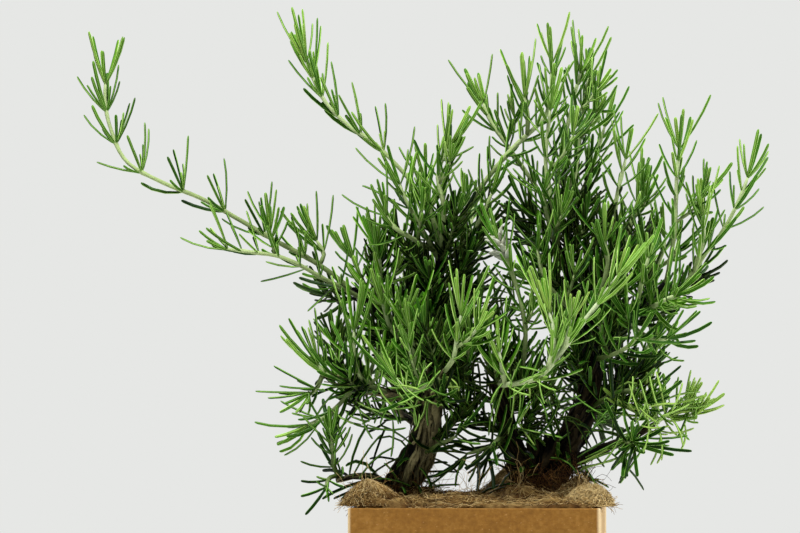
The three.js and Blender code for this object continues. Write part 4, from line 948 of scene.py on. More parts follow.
# Leafy shoots, in mm. Shoots with the same sprig are one piece. bare is the stem without leaves at its root,
# gap the distance between whorls, leaf the longest leaf, spread how far the oldest leaves open, lift how they
# turn up, youth how young the green is, from 0, dark, to 1, yellow-green, axil how many small leaves stand
# in each axil, between whether more whorls stand between, and twigs how many side twigs 30 mm of stem has.
shoots = [
    dict(sprig="left_arch", on=("left_mid", 1), bare=12, gap=24, whorl=4, leaf=32, spread=78, lift=0.8,
         radius=(1.9, 1.2), youth=0.42, twigs=0,
         path=[(-92, 2, 286), (-106, 0, 295), (-123, -3, 304), (-147, -5, 318), (-170, -8, 331),
               (-194, -10, 341), (-218, -10, 355), (-229, -9, 378), (-232, -8, 394), (-232, -8, 405)]),
    dict(sprig="left_arch", name="arch_side", on=("left_arch", 0.12), bare=4, gap=11, whorl=3, leaf=31,
         spread=72, youth=0.4, twigs=0, path=[(-95, 4, 297), (-100, 4, 306)]),
    dict(sprig="left_reach", on=("left_mid", 0.85), bare=12, gap=12, leaf=27, spread=75, lift=0.9,
         youth=0.42, twigs=0.2,
         path=[(-84, -8, 276), (-94, -14, 281), (-108, -18, 289), (-120, -20, 294), (-132, -20, 296),
               (-153, -20, 299)]),
    dict(sprig="left_high", on=("left_up", 1), bare=60, gap=15, whorl=4, leaf=32, spread=56, lift=0.9,
         youth=0.55, twigs=0,
         path=[(-27, -9, 322), (-40, -9, 342), (-61, -9, 364), (-78, -9, 376), (-94, -9, 393),
               (-105, -9, 417)]),
    dict(sprig="crown_front", on=("left_up", 0.95), bare=8, gap=11, leaf=31, spread=62, radius=(1.85, 1.4),
         youth=0.5,
         path=[(-18, -22, 313), (-17, -29, 324), (-20, -32, 338), (-19, -32, 349), (-14, -32, 359)]),
    dict(sprig="crown_left", on=("left_up", 0.9), bare=7, gap=10, leaf=29, spread=69, youth=0.42,
         path=[(-29, -13, 306), (-37, -17, 320), (-43, -19, 332), (-45, -20, 339)]),
    dict(sprig="crown_left", name="crown_shoulder", on=("crown_left", 0.15), bare=5, gap=10, leaf=27,
         spread=81, youth=0.36, path=[(-38, -22, 305), (-48, -27, 311), (-53, -28, 319)]),
    dict(sprig="crown_back", on=("left_up", 0.78), bare=8, gap=11, leaf=26, spread=62, youth=0.4,
         path=[(-24, 14, 308), (-30, 22, 326), (-33, 26, 338), (-33, 27, 345)]),
    dict(sprig="crown_right", on=("left_up", 0.85), bare=7, gap=10, leaf=27, spread=81, youth=0.3,
         twigs=0.2, path=[(-8, -8, 300), (3, -14, 314), (12, -16, 333)]),
    dict(sprig="bridge", on=("left_up", 0.92), bare=52, gap=11, leaf=27, spread=56, radius=(2, 1.2),
         youth=0.55, twigs=0,
         path=[(-12, 3, 312), (-4, -1, 326), (12, -8, 347), (26, -12, 362), (37, -12, 372), (45, -10, 381),
               (48, -10, 396), (49, -10, 415)]),
    dict(sprig="bridge", name="bridge_side", on=("bridge", 0.66), bare=4, gap=9, leaf=30, spread=52,
         path=[(34, -17, 380), (32, -18, 392)]),
    dict(sprig="crossing", on=("right_leader", 0.85), bare=28, gap=12, leaf=28, spread=48, youth=0.45,
         twigs=0.2, path=[(42, 0, 331), (25, 3, 357), (11, 0, 377), (5, -1, 391)]),
    dict(sprig="top_left", on=("right_leader", 1), bare=10, gap=11, leaf=28, spread=46, youth=0.55,
         twigs=0.3, path=[(51, 5, 338), (53, 7, 355), (61, 7, 391), (66, 6, 410)]),
    dict(sprig="top_right", on=("right_leader", 0.72), bare=12, gap=12, leaf=29, spread=44, youth=0.5,
         twigs=0.3, path=[(56, 10, 328), (62, 14, 348), (69, 16, 399), (71, 16, 408)]),
    dict(sprig="top_back", on=("right_leader", 0.55), bare=12, gap=11, leaf=28, spread=56, youth=0.4,
         twigs=0.3, path=[(58, 20, 318), (68, 34, 343), (76, 40, 366), (80, 41, 380)]),
    dict(sprig="top_front", on=("right_leader", 0.68), bare=14, gap=11, leaf=27, spread=62, youth=0.5,
         path=[(50, -13, 318), (46, -16, 340), (45, -17, 356), (48, -19, 384)]),
    dict(sprig="centre_rosette", on=("right_leader", 0.5), bare=4, gap=10, leaf=28, spread=80, lift=0,
         youth=0.28, path=[(48, -14, 308), (43, -20, 332)]),
    dict(sprig="right_centre", on=("right_upper", 1), bare=6, gap=11, leaf=29, spread=62, youth=0.55,
         twigs=0.2, path=[(87, 2, 316), (88, 0, 330), (94, -3, 355)]),
    dict(sprig="right_centre_back", on=("right_upper", 0.8), bare=8, gap=11, leaf=27, spread=62,
         path=[(92, 24, 305), (98, 30, 322), (103, 34, 338)]),
    dict(sprig="right_tall", on=("right_outer", 1), bare=6, gap=11, leaf=31, spread=56, youth=0.6,
         path=[(121, -8, 291), (124, -13, 312), (125, -15, 338), (127, -15, 360)]),
    dict(sprig="right_far", on=("right_outer", 0.8), bare=22, gap=13, leaf=31, spread=56, youth=0.5,
         twigs=0, path=[(123, 6, 269), (143, 1, 296), (155, 0, 312), (165, 0, 332), (169, 0, 343)]),
    dict(sprig="right_far", name="right_far_side", on=("right_far", 0.35), bare=5, gap=10, leaf=30,
         spread=44, youth=0.65, twigs=0, path=[(141, -9, 302), (141, -13, 318)]),
    dict(sprig="right_fan", on=("right_outer", 0.8), bare=12, gap=7, whorl=4, leaf=27, spread=85, lift=0,
         youth=0.5, path=[(110, -20, 262), (117, -30, 265), (124, -34, 268)]),
    dict(sprig="right_low_fan", on=("right_outer", 0.5), bare=10, gap=10, leaf=30, spread=82, lift=0,
         youth=0.38, path=[(106, -14, 244), (113, -19, 241), (119, -22, 242)]),
    dict(sprig="right_dark", on=("right_arm_main", 0.8), bare=14, gap=10, leaf=29, spread=82, lift=-0.1,
         youth=0.2, path=[(84, -22, 232), (94, -36, 236), (101, -40, 242)]),
    dict(sprig="right_pale", on=("right_low_back", 1), bare=4, gap=8.5, whorl=3, leaf=21, spread=78,
         youth=1.35, axil=2, twigs=1.2, path=[(118, 12, 196), (124, 14, 198), (130, 15, 203)]),
    dict(sprig="right_pale", name="right_pale_up", on=("right_pale", 0.1), bare=4, gap=8.5, leaf=24,
         spread=62, youth=1.4, path=[(111, 15, 203), (108, 18, 215)]),
    dict(sprig="right_pale", name="right_pale_in", on=("right_pale", 0.12), bare=4, gap=7, whorl=3,
         leaf=21, spread=84, youth=1.3, axil=2, path=[(107, 1, 195), (103, -4, 196), (101, -6, 200)]),
    dict(sprig="right_base", on=("right_low", 0.75), bare=3, gap=7, whorl=3, leaf=29, spread=85, lift=-0.4,
         youth=0.15, twigs=0.2, path=[(94, -27, 179), (99, -32, 179)]),
    dict(sprig="front_bright", on=("right_arm_left", 1), bare=26, gap=13, leaf=33, spread=44,
         radius=(2, 1.2), youth=0.92, axil=2, twigs=0,
         path=[(19, -34, 214), (24, -48, 214), (33, -57, 215), (44, -61, 219), (53, -62, 229),
               (67, -62, 248), (84, -60, 270), (90, -59, 279)]),
    dict(sprig="front_bright", name="front_bright_left", on=("front_bright", 0.2), bare=3, gap=8.5,
         leaf=26, spread=50, youth=0.9, twigs=0, path=[(20, -50, 222), (18, -51, 234)]),
    dict(sprig="front_bright", name="front_bright_mid", on=("front_bright", 0.48), bare=5, gap=10, leaf=33,
         spread=40, youth=0.95, axil=2, twigs=0, path=[(52, -66, 240), (49, -67, 257)]),
    dict(sprig="front_bright", name="front_bright_bud", on=("front_bright", 0.6), bare=3, gap=7, leaf=19,
         spread=38, youth=1, twigs=0, path=[(61, -67, 246), (62, -68, 253)]),
    dict(sprig="front_left", on=("left_front", 1), bare=4, gap=10, leaf=31, spread=60, youth=0.8,
         path=[(-9, -56, 230), (-6, -59, 247), (-4, -60, 256)]),
    dict(sprig="dry_buds", on=("right_arm_left", 0.84), bare=14, gap=11, leaf=26, spread=69, youth=0.3,
         twigs=0.3, path=[(28, -16, 218), (33, -31, 240), (31, -38, 262), (24, -39, 285), (18, -39, 300)]),
    dict(sprig="left_bright", on=("left_low", 0.65), bare=4, gap=9, whorl=3, leaf=33, spread=75, lift=0.9,
         youth=0.45, twigs=0.3, path=[(-81, -30, 218), (-88, -35, 220), (-94, -37, 227)]),
    dict(sprig="left_long", on=("left_low", 0.4), bare=10, gap=10, leaf=38, spread=52, youth=0.5,
         twigs=0.3, path=[(-66, -36, 217), (-70, -47, 230), (-70, -50, 247)]),
    dict(sprig="left_tail", on=("left_low", 1), bare=3, gap=8.5, leaf=28, spread=69, lift=0.7, youth=0.4,
         axil=2, twigs=0, path=[(-95, -27, 213), (-98, -28, 209), (-101, -28, 210)]),
    dict(sprig="left_droop", on=("left_low", 0.7), bare=10, gap=12, leaf=29, spread=56, lift=0, youth=0.38,
         twigs=0, path=[(-80, -12, 206), (-92, -9, 195), (-104, -8, 190)]),
    dict(sprig="left_fall", on=("left_twig", 0.9), bare=2, gap=7, whorl=3, leaf=25, spread=81, youth=0.2,
         twigs=0, path=[(-85, -22, 163), (-87, -23, 184)]),
    dict(sprig="left_fall", name="left_fall_low", on=("left_fall", 0.12), bare=4, gap=7, leaf=18,
         spread=75, lift=0, youth=0.15, twigs=0, path=[(-88, -27, 157), (-89, -31, 151)]),
    dict(sprig="mid_low_left", on=("left_trunk", 0.5), bare=14, gap=8.5, leaf=24, spread=82, lift=0,
         youth=0.1, axil=0, twigs=0, path=[(-20, -22, 178), (-9, -31, 183)]),
    dict(sprig="mid_low", on=("right_arm_left", 0.62), bare=8, gap=10, leaf=27, spread=76, lift=-0.2,
         youth=0, axil=0, twigs=0, path=[(13, -18, 177), (4, -26, 174), (-4, -29, 172)]),
    dict(sprig="mid_low", name="mid_low_front", on=("mid_low", 0.2), bare=10, gap=8.5, leaf=27, spread=81,
         lift=-0.4, youth=0, axil=0, twigs=0, path=[(17, -30, 182), (13, -44, 177)]),
    dict(sprig="mid_left", on=("left_front", 0.8), bare=6, gap=9.5, leaf=32, spread=69, lift=0.9,
         youth=0.55, path=[(-26, -54, 213), (-36, -60, 210), (-44, -62, 218)]),
    dict(sprig="mid_left_up", on=("left_trunk", 0.95), bare=16, gap=9.5, leaf=32, spread=62, youth=0.5,
         path=[(-32, -26, 220), (-34, -38, 232), (-36, -43, 247)]),
    dict(sprig="mid_left_back", on=("left_back", 0.85), bare=6, gap=12, leaf=27, spread=69,
         path=[(-42, 42, 248), (-56, 50, 272)]),
    dict(sprig="left_shoulder", on=("left_mid", 0.5), bare=8, gap=10, leaf=27, spread=62, youth=0.5,
         path=[(-57, -8, 275), (-58, -15, 290), (-60, -16, 300)]),
    dict(sprig="left_shoulder_back", on=("left_mid", 0.75), bare=8, gap=10, leaf=26, spread=62,
         path=[(-73, 12, 284), (-79, 17, 296)]),
    dict(sprig="left_inner", on=("left_mid", 0.25), bare=10, gap=10, leaf=31, spread=75, youth=0.5,
         path=[(-44, -20, 240), (-50, -32, 250), (-54, -38, 264)]),
    dict(sprig="centre_low", on=("left_trunk", 0.97), bare=10, gap=12, leaf=26, spread=81, youth=0.2,
         between=1, path=[(-12, -12, 218), (-2, -20, 228), (0, -22, 240)]),
    dict(sprig="centre_mid", on=("right_arm_left", 0.97), bare=8, gap=11, leaf=27, spread=75, youth=0.2,
         between=1, twigs=1, path=[(8, -4, 228), (2, -4, 246), (4, -5, 264)]),
    dict(sprig="centre_high", on=("right_leader", 0.1), bare=8, gap=13, leaf=27, spread=75, youth=0.3,
         twigs=1, path=[(56, -14, 264), (44, -24, 280), (40, -26, 298)]),
    dict(sprig="right_inner", on=("right_upper", 0.2), bare=10, gap=12, leaf=27, spread=75, youth=0.3,
         path=[(78, -18, 270), (83, -26, 288), (81, -28, 302)]),
    dict(sprig="right_inner_mid", on=("right_outer", 0.34), bare=12, gap=10, leaf=27, spread=75,
         path=[(100, -18, 264), (104, -28, 278), (108, -31, 292)]),
    dict(sprig="right_inner_back", on=("right_outer", 0.7), bare=10, gap=13, leaf=27, spread=69,
         path=[(108, 20, 276), (116, 29, 298), (118, 30, 308)]),
    dict(sprig="right_inner_low", on=("right_arm_main", 0.55), bare=8, gap=12, leaf=27, spread=82, lift=0,
         youth=0.15, between=1, path=[(84, -8, 208), (95, -13, 211), (106, -15, 208)]),
    dict(sprig="back_left", on=("left_back", 1), bare=5, gap=12, leaf=28, spread=72,
         path=[(-30, 58, 256), (-29, 66, 288)]),
    dict(sprig="back_left_low", on=("left_back_low", 1), bare=5, gap=12, leaf=28, spread=78,
         path=[(-70, 52, 216), (-82, 57, 240)]),
    dict(sprig="back_mid", on=("right_back", 0.6), bare=10, gap=12, leaf=28, spread=75,
         path=[(56, 52, 258), (40, 64, 276), (36, 70, 294)]),
    dict(sprig="back_right", on=("right_back", 1), bare=5, gap=12, leaf=28, spread=72,
         path=[(78, 66, 276), (84, 75, 310)]),
    dict(sprig="back_right_low", on=("right_back_low", 1), bare=5, gap=12, leaf=28, spread=81,
         path=[(97, 62, 222), (109, 67, 246)]),
    dict(sprig="back_low_mid", on=("right_back_low", 0.5), bare=14, gap=12, leaf=27, spread=81,
         path=[(50, 42, 202), (34, 52, 210), (24, 56, 222)]),
    dict(sprig="back_crown", on=("left_up", 0.6), bare=16, gap=12, leaf=27, spread=69, youth=0.35,
         path=[(-16, 18, 286), (-8, 36, 302), (-4, 44, 330)]),
]
shootUsual = {"whorl": 2, "lift": 0.25, "radius": (1.7, 1.15), "youth": 0.44, "axil": 1, "between": 0,
              "twigs": 0.5}
leafRule = {
    "width": (2, 2.6), "thick": 1.3, "bendAt": 0.56, "curl": (0.2, 1.3), "size": (0.88, 1.16),
    "sizeByAge": (1.14, 0.94), "gapByAge": (0.74, 1.2), "opening": 0.62, "turnWobble": 56,
    "openingWobble": 26, "towardsStem": 0.6, "towardsSky": 0.85, "tuft": 2, "small": 24, "smallWidth": 0.72,
    "axilSize": ((0.5, 0.9), (0.28, 0.66)), "margin": 1.2, "twist": 0.7, "unevenness": 0.9,
}
leafShape = newTemplate("leafShape", ((-1, 0), (-0.55, 0.5), (0, 0.16), (0.55, 0.5), (1, 0), (0, -0.45)),
                        (0, 0.1, 0.36, 0.68, 0.92, 0.98, 1), (0.48, 0.82, 1, 1, 0.92, 0.62, 0))


def inBox(place):
    # whether a leaf's tip is inside the space that the solids take up
    spare = leafRule["margin"] * mm
    low, high = cadBox
    return all(low[axis] + spare < place[axis] * mm < high[axis] - spare for axis in range(3))


def addLeaf(bm, aim, youth, seed):
    root, bend, tip, along, size = aim
    width = mix(*leafRule["width"], chance(seed, 5, 1)) / 2
    width *= mix(leafRule["smallWidth"], 1, clamp(size / leafRule["small"]))
    twist = leafRule["twist"] * (chance(seed, 5, 2) - 0.5)
    unevenness = leafRule["unevenness"] * min(1, 0.1 + 1.9 * youth)
    straight = (tip - root).normalized()
    upper = (along - straight * straight.dot(along)).normalized()
    stations = []
    for share, wide in zip(leafShape["rings"], leafShape["widths"]):
        centre = root * (1 - share) ** 2 + bend * (2 * share * (1 - share)) + tip * share ** 2
        ahead = ((bend - root) * (1 - share) + (tip - bend) * share).normalized()
        across = ahead.cross(upper).normalized()
        over = across.cross(ahead)
        turned = twist * share
        stations.append((centre, (across * math.cos(turned) + over * math.sin(turned)) * width * wide,
                         (over * math.cos(turned) - across * math.sin(turned)) * leafRule["thick"] * wide))
    addCopy(bm, leafShape, stations, clamp(youth + unevenness * (chance(seed, 5, 3) ** 2 - 0.33), 0, 1.6))


def leafAim(shoot, j, k, away, extra=0):
    # where one leaf goes; extra numbers the small leaves in its axil
    share = 1 - away / shoot["length"]
    stretches = shoot["stretches"]
    start, along, side, depth = stretches[min(int(share * len(stretches)), len(stretches) - 1)]
    index, place = shoot["index"], 10 * j + k + 1000 * extra
    age = min(1, j / 3)
    face = 45 + 360 * k / shoot["whorl"] + (90 * j if shoot["whorl"] == 2 else 0)
    azimuth = face + leafRule["turnWobble"] * (chance(index, place, 1) - 0.5)
    opening = shoot["spread"] * mix(leafRule["opening"], 1, age)
    opening += leafRule["openingWobble"] * (chance(index, place, 2) - 0.5)
    size = shoot["leaf"] * mix(*leafRule["sizeByAge"], min(1, j / 2))
    size *= mix(*leafRule["size"], chance(index, place, 3))
    if extra:
        azimuth += (30 + 80 * chance(index, place, 6)) * (1 if extra % 2 else -1)
        opening *= 0.6 + 0.6 * chance(index, place, 7)
        newest, oldest = leafRule["axilSize"]
        size *= mix(mix(newest[0], oldest[0], age), mix(newest[1], oldest[1], age), chance(index, place, 8))
    opening = math.radians(opening)
    out = outwardAt(side, depth, azimuth)
    lean = up * (shoot["lift"] * math.sin(opening))
    first = (along * math.cos(opening) + out * math.sin(opening) + lean).normalized()
    curl = mix(*leafRule["curl"], chance(index, place, 4))
    inward, skyward = along * (leafRule["towardsStem"] * curl), up * (leafRule["towardsSky"] * curl)
    last = (first + inward + skyward).normalized()
    root = shoot["place"](share) + out * (0.4 * mix(*shoot["radius"], share))
    middle, end = first * leafRule["bendAt"], last * (1 - leafRule["bendAt"])
    while not inBox(root + (middle + end) * size):
        size *= 0.9
    return root, root + middle * size, root + (middle + end) * size, along, size


def whorlsOf(shoot):
    # how far from the tip each whorl stands
    away, j, places = 1.0, 0, []
    while away < shoot["length"] - shoot["bare"]:
        places.append(away)
        away += shoot["gap"] * mix(*leafRule["gapByAge"], min(1, j / 3))
        j += 1
    return places


def readyShoot(shoot, index, step=18):
    # gives a shoot its usual values, its number, and the line that its leaves stand on
    for title, value in shootUsual.items():
        shoot.setdefault(title, value)
    shoot["index"] = index
    shoot["place"], shoot["length"] = lines.get(shoot.get("name")) or lineThrough(shoot["path"])
    shoot["stretches"] = stretchesOf(shoot["place"], math.ceil(shoot["length"] / step))
    return shoot


stemRule = {"size": 0.92, "knot": 0.22, "tip": 0.55, "lumps": 0.1, "tone": (0.32, 0.62)}


def addStem(bm, shoot, youth):
    # a green stem that swells a little at each whorl
    place, length = shoot["place"], shoot["length"]
    steps = max(5, round(length / 5))
    around = 8 if shoot["radius"][0] > 1.3 else 6
    stretches = stretchesOf(place, steps)
    stretches.append((place(1), *stretches[-1][1:]))
    knots = [1 - away / length for away in whorlsOf(shoot)]

    def cornerAt(i, j):
        start, along, side, depth = stretches[j]
        share = j / steps
        swell = sum(math.exp(-(((share - knot) * length) / 2) ** 2) for knot in knots)
        out = outwardAt(side, depth, 360 * i / around)
        size = mix(*shoot["radius"], share) * (stemRule["size"] + stemRule["knot"] * min(1, swell))
        size *= stemRule["tip"] if j == steps else 1 + stemRule["lumps"] * noise.noise(start / 3 + out)
        return start + out * size

    def toneAt(i, j):
        return clamp(mix(*stemRule["tone"], j / steps) + 0.5 * (youth - 0.4))

    rollTube(bm, around, steps, cornerAt, 1, toneAt)


def addFoliage(bm, shoot, youth):
    # the whorls of a shoot with the small leaves in their axils, then more between them, then the tuft
    index, whorls = shoot["index"], whorlsOf(shoot)
    count = 0
    for j, away in enumerate(whorls):
        fresh = youth * (0.72 + 0.5 * math.exp(-away / 12)) - 0.1 * min(1, away / 50)
        for k in range(shoot["whorl"]):
            seed = index * 50 + 10 * j + k
            addLeaf(bm, leafAim(shoot, j, k, away), fresh, seed)
            for extra in range(1, shoot["axil"] + 1):
                addLeaf(bm, leafAim(shoot, j, k, away, extra), fresh + 0.1, seed + 7000 * extra)
            count += 1 + shoot["axil"]
    more = []
    if shoot["between"]:
        more += [(a + b) / 2 for a, b in zip(whorls, whorls[1:])]
        if "name" in shoot:  # not a twig: its bare stem has some too
            further = (whorls[-1] + 8 * n for n in range(1, 12))
            more += [away for away in further if away < shoot["length"] - 3]
    for n, away in enumerate(more):
        turned = 3 + n + (0 if n % 2 else 1)
        for k in range(2):
            for extra in (0, 3):
                seed = index * 50 + n * 3 + k + extra
                addLeaf(bm, leafAim(shoot, turned, k, away, extra), youth - 0.08, seed)
                count += 1
    for k in range(leafRule["tuft"]):
        addLeaf(bm, leafAim(shoot, 0, k, 0.6, 5 + k), 1.4 * youth + 0.1, index * 50 + k + 300)
    return count + leafRule["tuft"]


twigRule = {
    "ahead": 0.45, "rise": (0.35, 0.55), "bare": 3, "gap": 6.5, "leaf": (17, 25), "spread": (48, 66),
    "radius": (1.1, 0.75), "step": 9,
}


def twigsOf(shoot, number, seed, low=0.12, high=0.85, size=(14, 30), between=0):
    # side twigs that spread and turn up, at even places along a shoot or limb
    stretches = shoot["stretches"]
    twigs = []
    for n in range(number):
        share = mix(low, high, (n + 0.2 + 0.6 * chance(seed, n, 21)) / number)
        start, along, side, depth = stretches[min(int(share * len(stretches)), len(stretches) - 1)]
        out = outwardAt(side, depth, 137.5 * n + 90 * chance(seed, n, 22))
        reach = mix(*size, chance(seed, n, 23))
        base = shoot["place"](share)
        first, then = twigRule["rise"]
        way = (along * twigRule["ahead"] + out + up * first).normalized()
        later = (way + up * then).normalized()
        middle = base + way * reach * 0.55
        twig = {"path": [base, middle, middle + later * reach * 0.5], "between": between,
                "leaf": mix(*twigRule["leaf"], chance(seed, n, 24)),
                "spread": mix(*twigRule["spread"], chance(seed, n, 25)),
                **{title: twigRule[title] for title in ("bare", "gap", "radius")}}
        twigs.append(readyShoot(twig, 900 + seed * 7 + n, twigRule["step"]))
    return twigs


